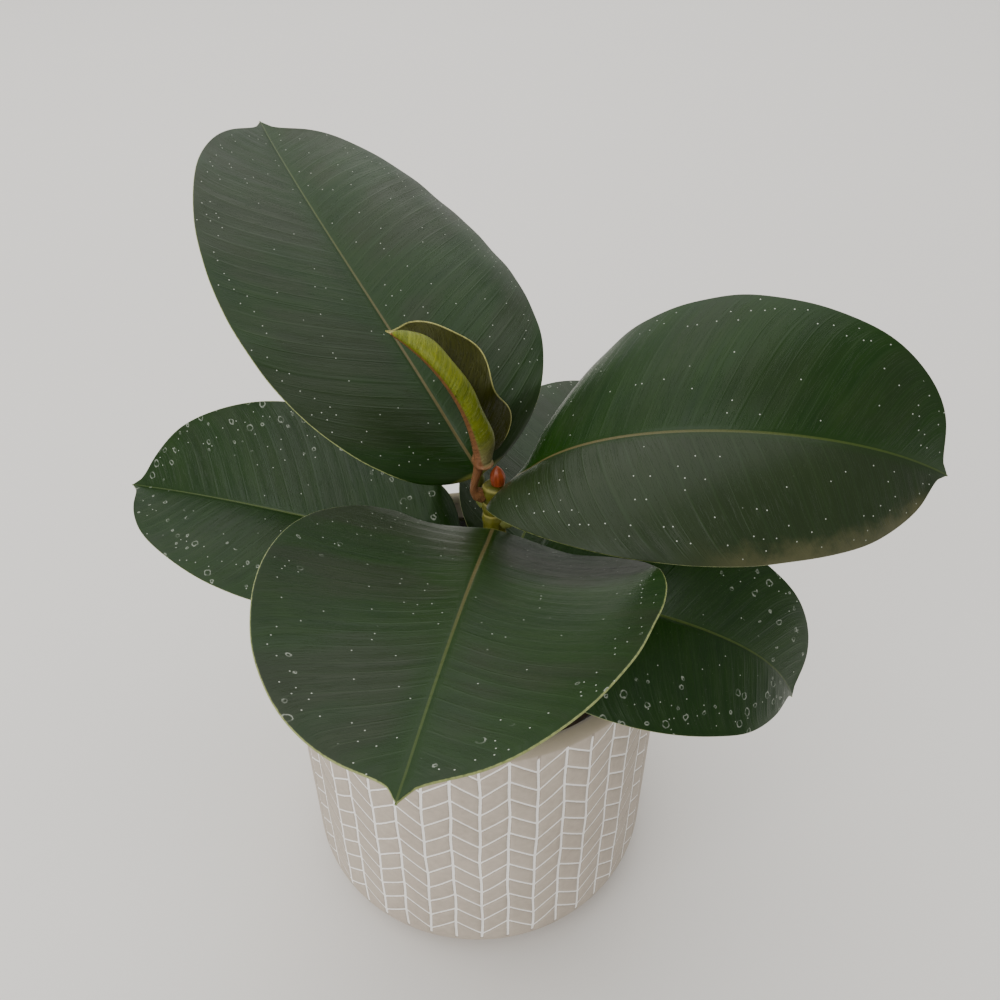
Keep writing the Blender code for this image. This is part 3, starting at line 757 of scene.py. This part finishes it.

# %% [markdown]
# ## The grown leaves
#
# Six leaves use the same formula with their own rows of the table. The lower two have stood under the
# watering can, so they carry the most water drops, whose highlights are painted as white rings. The
# right-hand leaf has a tan midrib and a worn patch along its lower margin. Most leaves also have a warm
# sheen painted into their colour in patches.

# %% Build the grown leaves
# each leaf's look sets how much warm sheen and how many drop highlights are painted into its colour
LEAF_LOOKS = {
    "leaf_back_left": dict(seed=1.7, rib=RIB_TAN, painted_sheen=0.50),
    "leaf_right": dict(seed=4.2, rib=RIB_TAN, scuff=0.60, painted_sheen=0.30, painted_sheen_half=0.60),
    "leaf_front": dict(seed=2.9, drop_highlights=0.09, rib=RIB_TAN, painted_sheen=0.62),
    "leaf_left": dict(seed=6.1, drop_highlights=0.42, rib=RIB_GREEN, painted_sheen=0.25),
    "leaf_low_right": dict(seed=8.3, drop_highlights=0.48, rib=RIB_GREEN),
    "leaf_back": dict(seed=9.6, drop_highlights=0.20, rib=RIB_GREEN, painted_sheen=0.50),
}
for name, look in LEAF_LOOKS.items():
    leaf = LEAVES[name]
    grid, address, zone = leaf_grid(leaf, 1.7 * MM, 0.60 * MM, 0.16, look["seed"])
    piece = tube_piece(name + "_blade", grid, address=address, zone=zone)
    settle(piece, name, leaf_finish(name + "_finish", leaf["length"], **look))
    cad_low, cad_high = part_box(name)
    points = grid.reshape(-1, 3)
    gap_low = (points.min(0) - np.array(cad_low)) * 1000
    gap_high = (points.max(0) - np.array(cad_high)) * 1000
    print(name, "against its CAD box, mm:", gap_low.round(1), gap_high.round(1))

# %% [markdown]
# ## The leaf that is unrolling
#
# The youngest leaf is still half rolled, so its pale underside faces out. It has the colour of new
# growth, and its midrib is red brown. The inside shows only at the back, dark and glossy. The
# layers are the grown leaf's, with other colours, so the same kind of finish does.

# %% Young leaf finish
NEW_LEAF_DEEP = (0.080, 0.110, 0.002)
NEW_LEAF_LIGHT = (0.210, 0.235, 0.010)
NEW_LEAF_LOW = (0.085, 0.110, 0.006)
NEW_LEAF_BASE = (0.230, 0.190, 0.095)
NEW_VEIN = (0.33, 0.36, 0.06)
NEW_MARGIN = (0.52, 0.50, 0.17)
RED_RIB = (0.215, 0.085, 0.036)


def young_outside(f, cloud, bands, thin, rib):
    """Yellow green, deeper over its lower half, greyer at its foot, with a red brown rib."""
    outside = f.mix((cloud - 0.5) * 1.5 + (bands - 0.5) * 2.0 + 0.5, NEW_LEAF_DEEP, NEW_LEAF_LIGHT)
    share = f.along / 62.0
    outside = f.mix(share.step(0.5, 0.0) * 0.5, outside, NEW_LEAF_LOW)
    outside = f.mix(thin * 0.35, outside, NEW_VEIN)
    outside = f.mix(share.step(0.20, 0.04) * 0.7, outside, NEW_LEAF_BASE)
    return f.mix(rib * 0.92, outside, RED_RIB)


def young_finish():
    """Yellow green outside with a red brown midrib, dark olive inside, cream wavy margin."""
    f = LeafFinish("young_leaf_finish", 0.0, 0.010)
    cloud = f.noise(f.flat_map, 9.0, 4.0)
    bands = f.noise(f.streak_map, 9.0, 3.0, 0.6)
    thin = abs(f.noise(f.streak_map, 16.0, 2.0, 0.5) - 0.5).step(0.03, 0.0)
    rib = (f.reach / (3.1 - f.along * 0.036)).step(1.15, 0.85)
    inside = f.mix(bands, (0.016, 0.020, 0.0005), (0.055, 0.058, 0.0015))
    inside = f.mix(rib * 0.5, inside, (0.11, 0.07, 0.01))
    surface = f.mix(f.top.step(0.35, 0.65), young_outside(f, cloud, bands, thin, rib), inside)
    margin = f.edge.step(0.6, 0.2) * f.flat.step(0.4, 0.9) * 0.85
    surface = f.mix(margin, surface, NEW_MARGIN)
    stalk = f.mix(cloud, (0.24, 0.080, 0.040), (0.20, 0.11, 0.035))
    f.colour(f.mix(f.flat.step(0.20, 0.0), surface, stalk))
    f.roughness(0.34 + cloud * 0.14)
    f.bump(thin * 0.5 + bands * 0.8, 0.30 * MM, 0.9)
    return f.material


print("young leaf finish is ready")

# %% [markdown]
# Its shape comes from the same grid. One half curls right round into a tube, and the other stands
# up behind it with a wavy margin, because it was wound tight only days ago.

# %% Young leaf
grid, address, zone = leaf_grid(LEAVES["young_leaf"], 1.7 * MM, 0.50 * MM, 1.3, 3.3)
young = tube_piece("young_leaf_blade", grid, address=address, zone=zone)
settle(young, "young_leaf", young_finish())

# %% [markdown]
# ## The cover pot
#
# The pot is slip-cast, matt and warm grey. A herringbone is cut into its side: upright lines all
# round, and slanting lines that fall from every other upright to its neighbours. The cuts are
# rubbed with chalk white. A texture could paint this, but cut lines catch light at their edges,
# so the grid itself follows the pattern: its rows run in a zigzag along the slanting cuts and its
# columns stand along the upright ones. Then a cut is just a row or a column pressed in.

# %% Cover pot shape
POT_WALL = 6.0 * MM
POT_FLOOR = 7.0 * MM
POT_BASE_RADIUS = POT_RIM_RADIUS - 1.0 * MM
FOOT_ROUND = 15.5 * MM
PANELS = 44
FIRST_LINE = math.radians(-80.2)     # compass direction of a line where the slanting cuts meet high
ROW_PITCH = 9.4 * MM
CUT_FALL = 7.8 * MM                  # how far a slanting cut falls from one upright to the next
TOP_CUT_Z = POT_HEIGHT - 3.2 * MM
CUT_ROWS = 11
CUT_EDGE = 0.80 * MM
CUT_CORE = 0.34 * MM
CUT_DEPTH = 0.32 * MM
BAND_END_Z = 12.4 * MM


def pot_outer_radius(z):
    """Straight tapered side, with a quarter circle at the foot and at the rim's outer edge."""
    side = POT_BASE_RADIUS + (POT_RIM_RADIUS - POT_BASE_RADIUS) * z / POT_HEIGHT
    foot_side = POT_BASE_RADIUS + (POT_RIM_RADIUS - POT_BASE_RADIUS) * FOOT_ROUND / POT_HEIGHT
    below = np.clip(FOOT_ROUND - z, 0.0, FOOT_ROUND)
    foot = foot_side - FOOT_ROUND + np.sqrt(FOOT_ROUND ** 2 - below ** 2)
    half_wall = POT_WALL / 2
    above = np.clip(z - (POT_HEIGHT - half_wall), 0.0, half_wall)
    rim = POT_RIM_RADIUS - half_wall + np.sqrt(half_wall ** 2 - above ** 2)
    return np.where(z < FOOT_ROUND, foot, np.where(above > 0, rim, side))


def side_rows():
    """Rows on the outer side from the foot up: height at a high line, share of zigzag, cut mask."""
    rows = [(11.0 * MM, 0.0, 0.0), (13.2 * MM, 0.20, 0.0), (15.8 * MM, 0.45, 0.0), (18.4 * MM, 0.68, 0.0),
            (20.8 * MM, 0.88, 0.0)]
    for index in reversed(range(CUT_ROWS)):
        z = TOP_CUT_Z - index * ROW_PITCH
        rows += [(z - CUT_EDGE, 1.0, 0.0), (z - CUT_CORE, 1.0, 0.85), (z, 1.0, 1.0),
                 (z + CUT_CORE, 1.0, 0.85), (z + CUT_EDGE, 1.0, 0.0)]
        if index > 0:
            rows += [(z + ROW_PITCH * 0.30, 1.0, 0.0), (z + ROW_PITCH * 0.5, 1.0, 0.0),
                     (z + ROW_PITCH * 0.70, 1.0, 0.0)]
    top = TOP_CUT_Z + CUT_EDGE
    rows += [(top + 0.15 * MM, 0.7, 0.0), (top + 0.3 * MM, 0.4, 0.0), (top + 0.45 * MM, 0.0, 0.0)]
    return np.array(rows)


def panel_columns():
    """Columns round the pot: angle, place in the zigzag from 0 (high line) to 1 (low), cut mask."""
    panel = 2 * math.pi / PANELS
    edge = CUT_EDGE / POT_RIM_RADIUS / panel
    core = CUT_CORE / POT_RIM_RADIUS / panel
    share = np.array((0.0, core, edge, 0.25, 0.5, 0.75, 1.0 - edge, 1.0 - core))
    cut = np.array((1.0, 0.85, 0.0, 0.0, 0.0, 0.0, 0.0, 0.85))
    index = np.arange(PANELS)[:, None]
    angle = FIRST_LINE + (index + share) * panel
    fall = np.where(index % 2 == 0, share, 1.0 - share)
    return angle.ravel(), fall.ravel(), np.tile(cut, PANELS)


def cut_side(angle, fall, upright):
    """The outer side: each row falls along the zigzag, and the cuts are pressed in."""
    rows = side_rows()
    level, zigzag, slanting = rows[:, :1], rows[:, 1:2], rows[:, 2:]
    z = level - zigzag * CUT_FALL * fall
    wobble = np.sin(angle * 7 + 1.0) * 0.10 + np.sin(angle * 19 + z * 160) * 0.12
    z = z + wobble * MM * np.minimum(1.0, zigzag)
    sway = (np.sin(z * 95 + angle * 5) + 0.7 * np.sin(z * 240 + angle * 23)) * 0.20 * MM
    in_band = smoothstep(BAND_END_Z - 0.6 * MM, BAND_END_Z + 0.6 * MM, z)
    in_band = in_band * (1.0 - smoothstep(TOP_CUT_Z + 0.2 * MM, TOP_CUT_Z + CUT_EDGE, z))
    cut = np.maximum(upright * in_band, slanting * np.ones_like(z))
    depth = CUT_DEPTH * (0.85 + 0.15 * np.sin(angle * 11 + z * 300))
    return pot_outer_radius(z) - depth * cut, z, angle + sway / POT_RIM_RADIUS * in_band, cut


# %% [markdown]
# The rest of the pot is turned, as on a potter's wheel: one profile of radius and height, carried
# round. It has a part before the cut side, from the middle of the base to the foot, and a part
# after it, over the rim and down to the middle of the floor inside.

# %% Base, rim and inside
def base_profile():
    """Radius and height from the base's middle to the top of the rounded foot."""
    foot_side = POT_BASE_RADIUS + (POT_RIM_RADIUS - POT_BASE_RADIUS) * FOOT_ROUND / POT_HEIGHT
    down = np.radians(np.linspace(-90.0, -21.0, 12))
    flat_r = (foot_side - FOOT_ROUND) * np.array((0.02, 0.35, 0.70, 0.90, 0.985))
    r = np.concatenate((flat_r, foot_side - FOOT_ROUND + FOOT_ROUND * np.cos(down)))
    z = np.concatenate((np.zeros(len(flat_r)), FOOT_ROUND + FOOT_ROUND * np.sin(down)))
    return r, z


def inside_profile():
    """Radius and height over the round rim, down the inner wall and round to the floor's middle."""
    half_wall = POT_WALL / 2
    inner_round = FOOT_ROUND - POT_WALL
    over = np.radians(np.linspace(32.0, 180.0, 14))
    wall_z = np.linspace(POT_HEIGHT - 8 * MM, POT_FLOOR + inner_round, 8)
    taper = (POT_RIM_RADIUS - POT_BASE_RADIUS) * (POT_HEIGHT - wall_z) / POT_HEIGHT
    wall_r = POT_RIM_RADIUS - POT_WALL - taper
    inner = np.radians(np.linspace(0.0, -90.0, 8))[1:]
    inner_r = wall_r[-1] - inner_round + inner_round * np.cos(inner)
    inner_z = POT_FLOOR + inner_round + inner_round * np.sin(inner)
    r = (POT_RIM_RADIUS - half_wall + half_wall * np.cos(over), wall_r, inner_r,
         inner_r[-1] * np.array((0.7, 0.35, 0.02)))
    z = (POT_HEIGHT - half_wall + half_wall * np.sin(over), wall_z, inner_z, np.full(3, POT_FLOOR))
    return np.concatenate(r), np.concatenate(z)


RIM_ROWS_OUTSIDE = 7                 # rows of the rim that still count as outside


def cover_pot_grid():
    """All rows from the base's middle to the floor's middle, and the pattern for the finish."""
    angle, fall, upright = panel_columns()
    side_r, side_z, side_turn, cut = cut_side(angle, fall, upright)
    base_r, base_z = base_profile()
    inside_r, inside_z = inside_profile()
    flat = np.ones_like(angle)
    r = np.concatenate((base_r[:, None] * flat, side_r, inside_r[:, None] * flat))
    z = np.concatenate((base_z[:, None] * flat, side_z, inside_z[:, None] * flat))
    turn = np.concatenate((np.tile(angle, (len(base_r), 1)), side_turn,
                           np.tile(angle, (len(inside_r), 1))))
    grid = np.stack((r * np.cos(turn), r * np.sin(turn), z), -1)
    mask = np.zeros_like(z)
    mask[len(base_r):len(base_r) + len(side_r)] = cut
    outside = np.ones_like(z)
    outside[len(base_r) + len(side_r) + RIM_ROWS_OUTSIDE:] = 0.0
    return grid, np.stack((mask, z * 1000, outside), -1)


print("the pot has %d panels of %.1f mm" % (PANELS, 2 * math.pi * POT_RIM_RADIUS / PANELS * 1000))

# %% [markdown]
# The finish keeps three materials in one: the matt grey body, chalk white where the attribute says a line
# is cut, and a bare, slightly darker rim. Painted shade darkens a thin band along the edges of each cut.
# Fired clay is never even, so faint clouds and tiny specks vary its colour, and fine grain its surface.

# %% Cover pot finish
def pot_finish():
    """Matt taupe clay, chalk in the cuts with painted shade along their edges, a darker rim, specks and
    grain.
    """
    f = Finish("cover_pot_finish", specular=0.3)
    cut, height, outside = f.attribute("pattern")
    place = f.place()
    cloud = f.noise(place, 28.0, 4.0, 0.6)
    fine = f.noise(place, 420.0, 3.0, 0.6)
    clay = f.mix((cloud - 0.5) * 2.0 + 0.5, (0.400, 0.342, 0.280), (0.495, 0.430, 0.360))
    clay = f.mix((fine - 0.5) * 1.2 + 0.28, clay, (0.57, 0.50, 0.42))
    rim = height.step(POT_HEIGHT * 1000 - 3.4, POT_HEIGHT * 1000 - 2.0)
    clay = f.mix(rim * 0.8, clay, (0.330, 0.285, 0.205))
    # painted shade: a dark band along the edges of each cut, where the groove's side would lie in shadow
    clay = f.mix(cut.step(0.02, 0.30) * 0.45, clay, (0.200, 0.160, 0.120))
    ragged = (cut + (f.noise(place, 900.0, 3.0, 0.6) - 0.5) * 0.50).step(0.46, 0.72)
    clay = f.mix(ragged * (0.90 + (cloud - 0.5) * 0.4), clay, (0.99, 0.975, 0.94))
    inner = f.mix(cloud, (0.30, 0.26, 0.21), (0.36, 0.31, 0.26))
    f.colour(f.mix(outside, inner, clay))
    f.roughness(0.72 + cloud * 0.12 + ragged * 0.10)
    f.bump(fine * 0.6 + cloud * 0.4, 0.12 * MM, 0.6)
    return f.material


grid, pattern = cover_pot_grid()
cover_pot = tube_piece("cover_pot_shell", grid, pattern=pattern)
settle(cover_pot, "cover_pot", pot_finish())

# %% [markdown]
# ## The grow pot
#
# The black plastic tub inside hardly shows. Its CAD shape has the lip and the drain holes already,
# so it stays and only gets a better material: black moulded plastic with a fine spark-eroded grain
# and a little dried soil dust.

# %% Grow pot finish
def grow_pot_finish():
    """Black moulded plastic with fine grain and faint dust."""
    f = Finish("grow_pot_finish")
    place = f.place()
    dust = f.noise(place, 60.0, 5.0, 0.65)
    f.colour(f.mix(dust.step(0.55, 0.80) * 0.5, (0.012, 0.012, 0.013), (0.060, 0.048, 0.036)))
    f.roughness(0.40 + dust * 0.25)
    f.bump(f.noise(place, 1600.0, 2.0), 0.05 * MM, 0.5)
    return f.material


grow_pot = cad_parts["grow_pot"]
grow_pot.data.materials.clear()
grow_pot.data.materials.append(grow_pot_finish())

# %% [markdown]
# ## The soil
#
# Peat is crumbly, dark and never level. The body is one closed tube: it starts at the bottom of the
# stem's hole, comes up round the stem, spreads to the grow pot's wall and goes down its side. Its
# top is roughened with a few sine waves of different lengths. Loose crumbs and a little white
# perlite lie on it, each with only twenty faces because there are hundreds.

# %% Soil
SOIL_WAVES = ((24, 0.4, 0.7), (13, 2.1, 0.5), (8, 4.0, 0.35), (5, 5.3, 0.25), (3, 1.2, 0.18))


def lumps(x, y):
    """Uneven ground: five crossed sine waves whose lengths go from 24 mm to 3 mm."""
    ground = np.zeros_like(x)
    for length, turn, size in SOIL_WAVES:
        forward = (x * math.cos(turn) + y * math.sin(turn)) / MM / length * 2 * math.pi
        sideways = (y * math.cos(turn) - x * math.sin(turn)) / MM / length * 2 * math.pi
        ground = ground + size * MM * np.sin(forward + turn) * np.sin(sideways * 0.8 + 2 * turn)
    return ground


def soil_top(x, y):
    """Height of the soil: level at the wall, 3 mm higher round the stem, plus the lumps."""
    away = np.hypot(x - STEM_X, y)
    mound = SOIL_MOUND * (1.0 - smoothstep(8 * MM, 50 * MM, away))
    return SOIL_Z + mound - 0.6 * MM + lumps(x, y)


SOIL_OUTER = (soil_high.x - soil_low.x) / 2
SOIL_FOOT = SOIL_OUTER - 9.0 * MM
hole = STEM_RADIUS + STEM_NODE_SWELL + GAP
angle = np.linspace(0.0, 2 * math.pi, 145)[:-1]
share = np.linspace(0.0, 1.0, 60)[:, None]
radius = hole + (SOIL_OUTER - hole) * share
x = STEM_X * (1.0 - share) + radius * np.cos(angle)
y = radius * np.sin(angle)
crust = np.stack((x, y, soil_top(x, y)), -1)
hole_rows = []
for depth, size in ((34.0, 0.05), (34.0, 1.0), (15.0, 1.0), (3.0, 1.0)):
    ring = np.stack((STEM_X + hole * size * np.cos(angle), hole * size * np.sin(angle),
                     np.full_like(angle, SOIL_Z - depth * MM)), -1)
    hole_rows.append(ring)
wall_rows = []
for down, size in ((2.0, 1.0), (30.0, 0.7), (60.0, 0.35), (0.0, 0.0)):
    z = SOIL_Z - down * MM if down else soil_low.z
    wall = SOIL_FOOT + (SOIL_OUTER - SOIL_FOOT) * size
    wall_rows.append(np.stack((wall * np.cos(angle), wall * np.sin(angle), np.full_like(angle, z)), -1))
wall_rows.append(wall_rows[-1] * np.array((0.05, 0.05, 1.0)))
soil_grid = np.concatenate((np.stack(hole_rows), crust, np.stack(wall_rows)))


def soil_finish():
    """Dark moist peat: clouds of brown, pale fibres, deep grain."""
    f = Finish("soil_finish", roughness=0.92, specular=0.25)
    place = f.place()
    cloud = f.noise(place, 90.0, 5.0, 0.65)
    fibre = f.noise(place, 500.0, 4.0, 0.7)
    peat = f.mix((cloud - 0.5) * 2.2 + 0.5, (0.012, 0.008, 0.005), (0.050, 0.032, 0.019))
    f.colour(f.mix(fibre.step(0.62, 0.74) * 0.5, peat, (0.13, 0.085, 0.045)))
    f.bump(cloud * 0.6 + fibre * 0.4, 0.8 * MM, 0.9)
    return f.material


soil_look = soil_finish()
soil = tube_piece("potting_soil_bed", soil_grid)
settle(soil, "potting_soil", soil_look)

# %% [markdown]
# The crumbs are squashed and turned copies of one twenty-sided lump. All of them are placed at
# once: each has a random size, stretch and turn from a seeded generator, so every run gives the
# same soil.

# %% Crumbs and perlite
def lump_points():
    """The twelve corners and twenty faces of a regular icosahedron of radius 1."""
    golden = (1 + math.sqrt(5)) / 2
    corners = np.array([(-1, golden, 0), (1, golden, 0), (-1, -golden, 0), (1, -golden, 0),
                        (0, -1, golden), (0, 1, golden), (0, -1, -golden), (0, 1, -golden),
                        (golden, 0, -1), (golden, 0, 1), (-golden, 0, -1), (-golden, 0, 1)], float)
    faces = np.array([(0, 11, 5), (0, 5, 1), (0, 1, 7), (0, 7, 10), (0, 10, 11), (1, 5, 9), (5, 11, 4),
                      (11, 10, 2), (10, 7, 6), (7, 1, 8), (3, 9, 4), (3, 4, 2), (3, 2, 6), (3, 6, 8),
                      (3, 8, 9), (4, 9, 5), (2, 4, 11), (6, 2, 10), (8, 6, 7), (9, 8, 1)])
    return corners / np.linalg.norm(corners[0]), faces


def scatter(name, count, smallest, largest, stretch, seed):
    """Lumps on the soil: each corner = place + turn(stretched, jittered corner) * size."""
    rng = np.random.default_rng(seed)
    corners, faces = lump_points()
    away = np.sqrt(rng.uniform(0.012, 0.90, count)) * SOIL_OUTER
    around = rng.uniform(0, 2 * math.pi, count)
    x, y = away * np.cos(around), away * np.sin(around)
    near = np.hypot(x - STEM_X, y) < 7 * MM
    x = np.where(near, x - 14 * MM, x)
    size = smallest + (largest - smallest) * rng.uniform(0, 1, count) ** 2
    shape = corners[None] * rng.uniform(0.72, 1.15, (count, 12, 1))
    shape = shape * np.stack((1 + stretch * rng.uniform(0, 1, count), np.ones(count),
                              rng.uniform(0.5, 0.9, count)), -1)[:, None]
    cos, sin = np.cos(around * 5)[:, None], np.sin(around * 5)[:, None]
    turned = np.stack((shape[..., 0] * cos - shape[..., 1] * sin,
                       shape[..., 0] * sin + shape[..., 1] * cos, shape[..., 2]), -1)
    centre = np.stack((x, y, soil_top(x, y) + size * 0.25), -1)
    points = centre[:, None] + turned * size[:, None, None]
    every = (faces[None] + 12 * np.arange(count)[:, None, None]).reshape(-1, 3)
    piece = add_mesh(name, points.reshape(-1, 3), np.zeros((0, 4), int), every, {})
    piece.data.shade_flat()
    return piece


crumbs = scatter("peat_crumbs", 420, 0.5 * MM, 2.0 * MM, 1.6, 11)
crumbs.data.materials.append(soil_look)
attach(crumbs, "root")

perlite_finish = Finish("perlite_finish", roughness=0.9)
perlite_grain = perlite_finish.noise(perlite_finish.place(), 700.0, 3.0, 0.6)
perlite_finish.colour(perlite_finish.mix(perlite_grain, (0.46, 0.42, 0.36), (0.72, 0.70, 0.64)))
perlite_finish.bump(perlite_grain, 0.3 * MM)
perlite = scatter("perlite_grains", 46, 0.6 * MM, 1.5 * MM, 0.4, 23)
perlite.data.materials.append(perlite_finish.material)
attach(perlite, "root")

# %% [markdown]
# ## The stem
#
# The stem is olive green at the top and browner towards the soil. Each leaf grows from a ring, and
# over the ring a thin pale scar runs round the stem, where a sheath once sat. A tube with a radius
# that depends on height does all of that: a swelling at each ring, a narrow groove over it, and a
# slight unevenness round the stem.

# %% Stem
ring_heights = np.array(sorted(leaf["height"] for leaf in LEAVES.values())) * MM + SOIL_Z
stem_z = np.linspace(stem_low.z, STEM_TOP_Z, 300)[:, None]
angle = np.linspace(0.0, 2 * math.pi, 49)[:-1]
from_ring = stem_z[..., None] - ring_heights - 0.35 * MM * np.sin(angle[:, None] + ring_heights * 900)
swell = np.exp(-(from_ring / (1.5 * MM)) ** 2).sum(-1) * STEM_NODE_SWELL
scar = np.exp(-((from_ring - 2.1 * MM) / (0.35 * MM)) ** 2).sum(-1)
stem_r = STEM_RADIUS + swell - 0.22 * MM * scar
stem_r = stem_r + 0.07 * MM * np.sin(3 * angle + stem_z * 130)
stem_r = stem_r + 0.05 * MM * np.sin(7 * angle - stem_z * 260)
round_top = np.clip((STEM_TOP_Z - stem_z) / (1.6 * MM), 0.0, 1.0)
stem_r = stem_r * np.sqrt(1.0 - (1.0 - round_top) ** 2 * 0.98)
stem_grid = np.stack((STEM_X + stem_r * np.cos(angle), stem_r * np.sin(angle),
                      stem_z * np.ones_like(angle)), -1)
bark = np.stack((np.clip(scar, 0, 1), stem_z * 1000 * np.ones_like(angle), swell / STEM_NODE_SWELL), -1)


def stem_finish():
    """Olive bark that turns brown low down, pale ring scars, small corky specks."""
    f = Finish("stem_finish", specular=0.30)
    scar, height, swollen = f.attribute("bark")
    place = f.place()
    stretched = f.node("ShaderNodeMapping", None, {"Vector": place, "Scale": (1.0, 1.0, 0.22)})
    streak = f.noise(stretched, 420.0, 4.0, 0.6)
    cloud = f.noise(place, 110.0, 3.0)
    olive = f.mix((streak - 0.5) * 2.0 + 0.5, (0.040, 0.044, 0.001), (0.125, 0.125, 0.006))
    olive = f.mix(height.step(150.0, 112.0) * 0.75, olive, (0.085, 0.060, 0.026))
    olive = f.mix(swollen * 0.35, olive, (0.150, 0.150, 0.010))
    speck = f.node("ShaderNodeTexVoronoi", None, {"Vector": stretched, "Scale": 620.0}, "Distance")
    olive = f.mix(speck.step(0.24, 0.12) * 0.45, olive, (0.23, 0.20, 0.09))
    f.colour(f.mix(scar * (0.55 + cloud * 0.5), olive, (0.42, 0.38, 0.11)))
    f.roughness(0.42 + streak * 0.20)
    f.bump(streak * 0.7 + cloud * 0.5, 0.16 * MM, 0.8)
    return f.material


stem_look = stem_finish()
stem = tube_piece("stem_bark", stem_grid, bark=bark)
settle(stem, "stem", stem_look)

# %% [markdown]
# ## The bud sheath
#
# A red sheath wraps every new rubber plant leaf and drops off once the leaf comes out. What is left
# of it here is a pointed scale at the stem's tip. It is a tube too: a cone that swells near its
# foot, bends a little, and has shallow lengthwise pleats.

# %% Bud sheath
t = np.linspace(0.0, 1.0, 60)[:, None]
angle = np.linspace(0.0, 2 * math.pi, 41)[:-1]
sheath_x = (sheath_low.x + sheath_high.x) / 2
sheath_y = (sheath_low.y + sheath_high.y) / 2
sheath_r = (sheath_high.x - sheath_low.x) / 2
height = sheath_high.z - sheath_low.z
profile = sheath_r * (1.0 - t ** 2.6) ** 0.75 * (0.86 + 0.14 * np.sin(math.pi * t))
pleat = 1.0 + 0.07 * np.sin(9 * angle + 2.5 * t) * np.sin(math.pi * np.clip(t * 1.2, 0, 1))
lean = 0.35 * MM * t ** 2
sheath_grid = np.stack((sheath_x + profile * pleat * np.cos(angle) - lean,
                        sheath_y + profile * pleat * np.sin(angle),
                        sheath_low.z + height * t * np.ones_like(angle)), -1)


def sheath_finish():
    """Waxy red scale with lengthwise streaks of darker and lighter red."""
    f = Finish("bud_sheath_finish", roughness=0.38)
    place = f.place()
    stretched = f.node("ShaderNodeMapping", None, {"Vector": place, "Scale": (1.0, 1.0, 0.15)})
    streak = f.noise(stretched, 900.0, 3.0, 0.6)
    f.colour(f.mix((streak - 0.5) * 2.2 + 0.5, (0.16, 0.018, 0.006), (0.42, 0.085, 0.020)))
    f.bump(streak, 0.15 * MM, 0.8)
    return f.material


sheath = tube_piece("bud_sheath_scale", sheath_grid)
settle(sheath, "bud_sheath", sheath_finish())

# %% [markdown]
# ## The floor
#
# The plant stands on a plain pale floor that runs out of sight. A faint cloud in its colour keeps
# it from looking like paper.

# %% Floor
floor_mesh = bpy.data.meshes.new("floor")
floor_mesh.from_pydata([(-8, -8, 0), (8, -8, 0), (8, 8, 0), (-8, 8, 0)], [], [(0, 1, 2, 3)])
floor = bpy.data.objects.new("floor", floor_mesh)
bpy.context.scene.collection.objects.link(floor)
floor_finish = Finish("floor_finish", roughness=0.8, specular=0.2)
floor_cloud = floor_finish.noise(floor_finish.place(), 3.0, 3.0)
floor_finish.colour(floor_finish.mix(floor_cloud, (0.82, 0.803, 0.778), (0.85, 0.833, 0.808)))
floor.data.materials.append(floor_finish.material)
print("floor is 16 m square")

# %% [markdown]
# ## The light
#
# Rubber plant leaves are dark and glossy, so most of what is seen on them is the reflection of the
# light. A pale world fills the shadows. One broad panel overhead gives the wide grey sheen, one far
# behind brightens the blades that lean away, and one from the front left lights the pot's side.

# %% Light
world = bpy.data.worlds.new("soft_room")
bpy.context.scene.world = world
world.use_nodes = True
world.node_tree.nodes["Background"].inputs["Color"].default_value = (1.0, 0.985, 0.965, 1.0)
world.node_tree.nodes["Background"].inputs["Strength"].default_value = 0.47


def soft_panel(name, place, aim, width, height, power, colour):
    """An area light of that size at a place, turned towards a point."""
    light = bpy.data.lights.new(name, "AREA")
    light.shape = "RECTANGLE"
    light.size = width
    light.size_y = height
    light.energy = power
    light.color = colour
    panel = bpy.data.objects.new(name, light)
    bpy.context.scene.collection.objects.link(panel)
    panel.location = place
    away = np.array(place) - np.array(aim)
    level = math.hypot(away[0], away[1])
    panel.rotation_euler = (math.atan2(level, away[2]), 0.0, math.atan2(away[0], -away[1]))
    panel.visible_camera = False
    print(name, "at", place)


WARM_WHITE = (1.0, 0.985, 0.955)
soft_panel("ceiling_panel", (-0.4, 0.7, 2.3), (0.0, 0.1, 0.1), 4.0, 3.2, 72.0, WARM_WHITE)
soft_panel("far_panel", (0.3, 2.6, 1.1), (0.0, 0.0, 0.15), 4.4, 1.8, 14.0, (1.0, 0.99, 0.97))
soft_panel("side_panel", (-1.5, -2.2, 1.5), (0.0, 0.0, 0.1), 2.8, 1.9, 54.0, (1.0, 0.985, 0.96))

# %% [markdown]
# ## The camera
#
# It looks down at the plant from just over the leaves, close enough for the near leaves to loom.
# The lens is as wide as the sensor is, which gives a view of 53 degrees.

# %% Camera
LOOK_DOWN = 38.47
camera_data = bpy.data.cameras.new("camera")
camera_data.lens = 36.0
camera_data.sensor_width = 36.0
camera = bpy.data.objects.new("camera", camera_data)
bpy.context.scene.collection.objects.link(camera)
camera.location = (0.0085, -0.2572, 0.3731)
camera.rotation_euler = (math.radians(90.0 - LOOK_DOWN), 0.0, 0.0)
bpy.context.scene.camera = camera
print("camera looks down by %.1f degrees" % LOOK_DOWN)
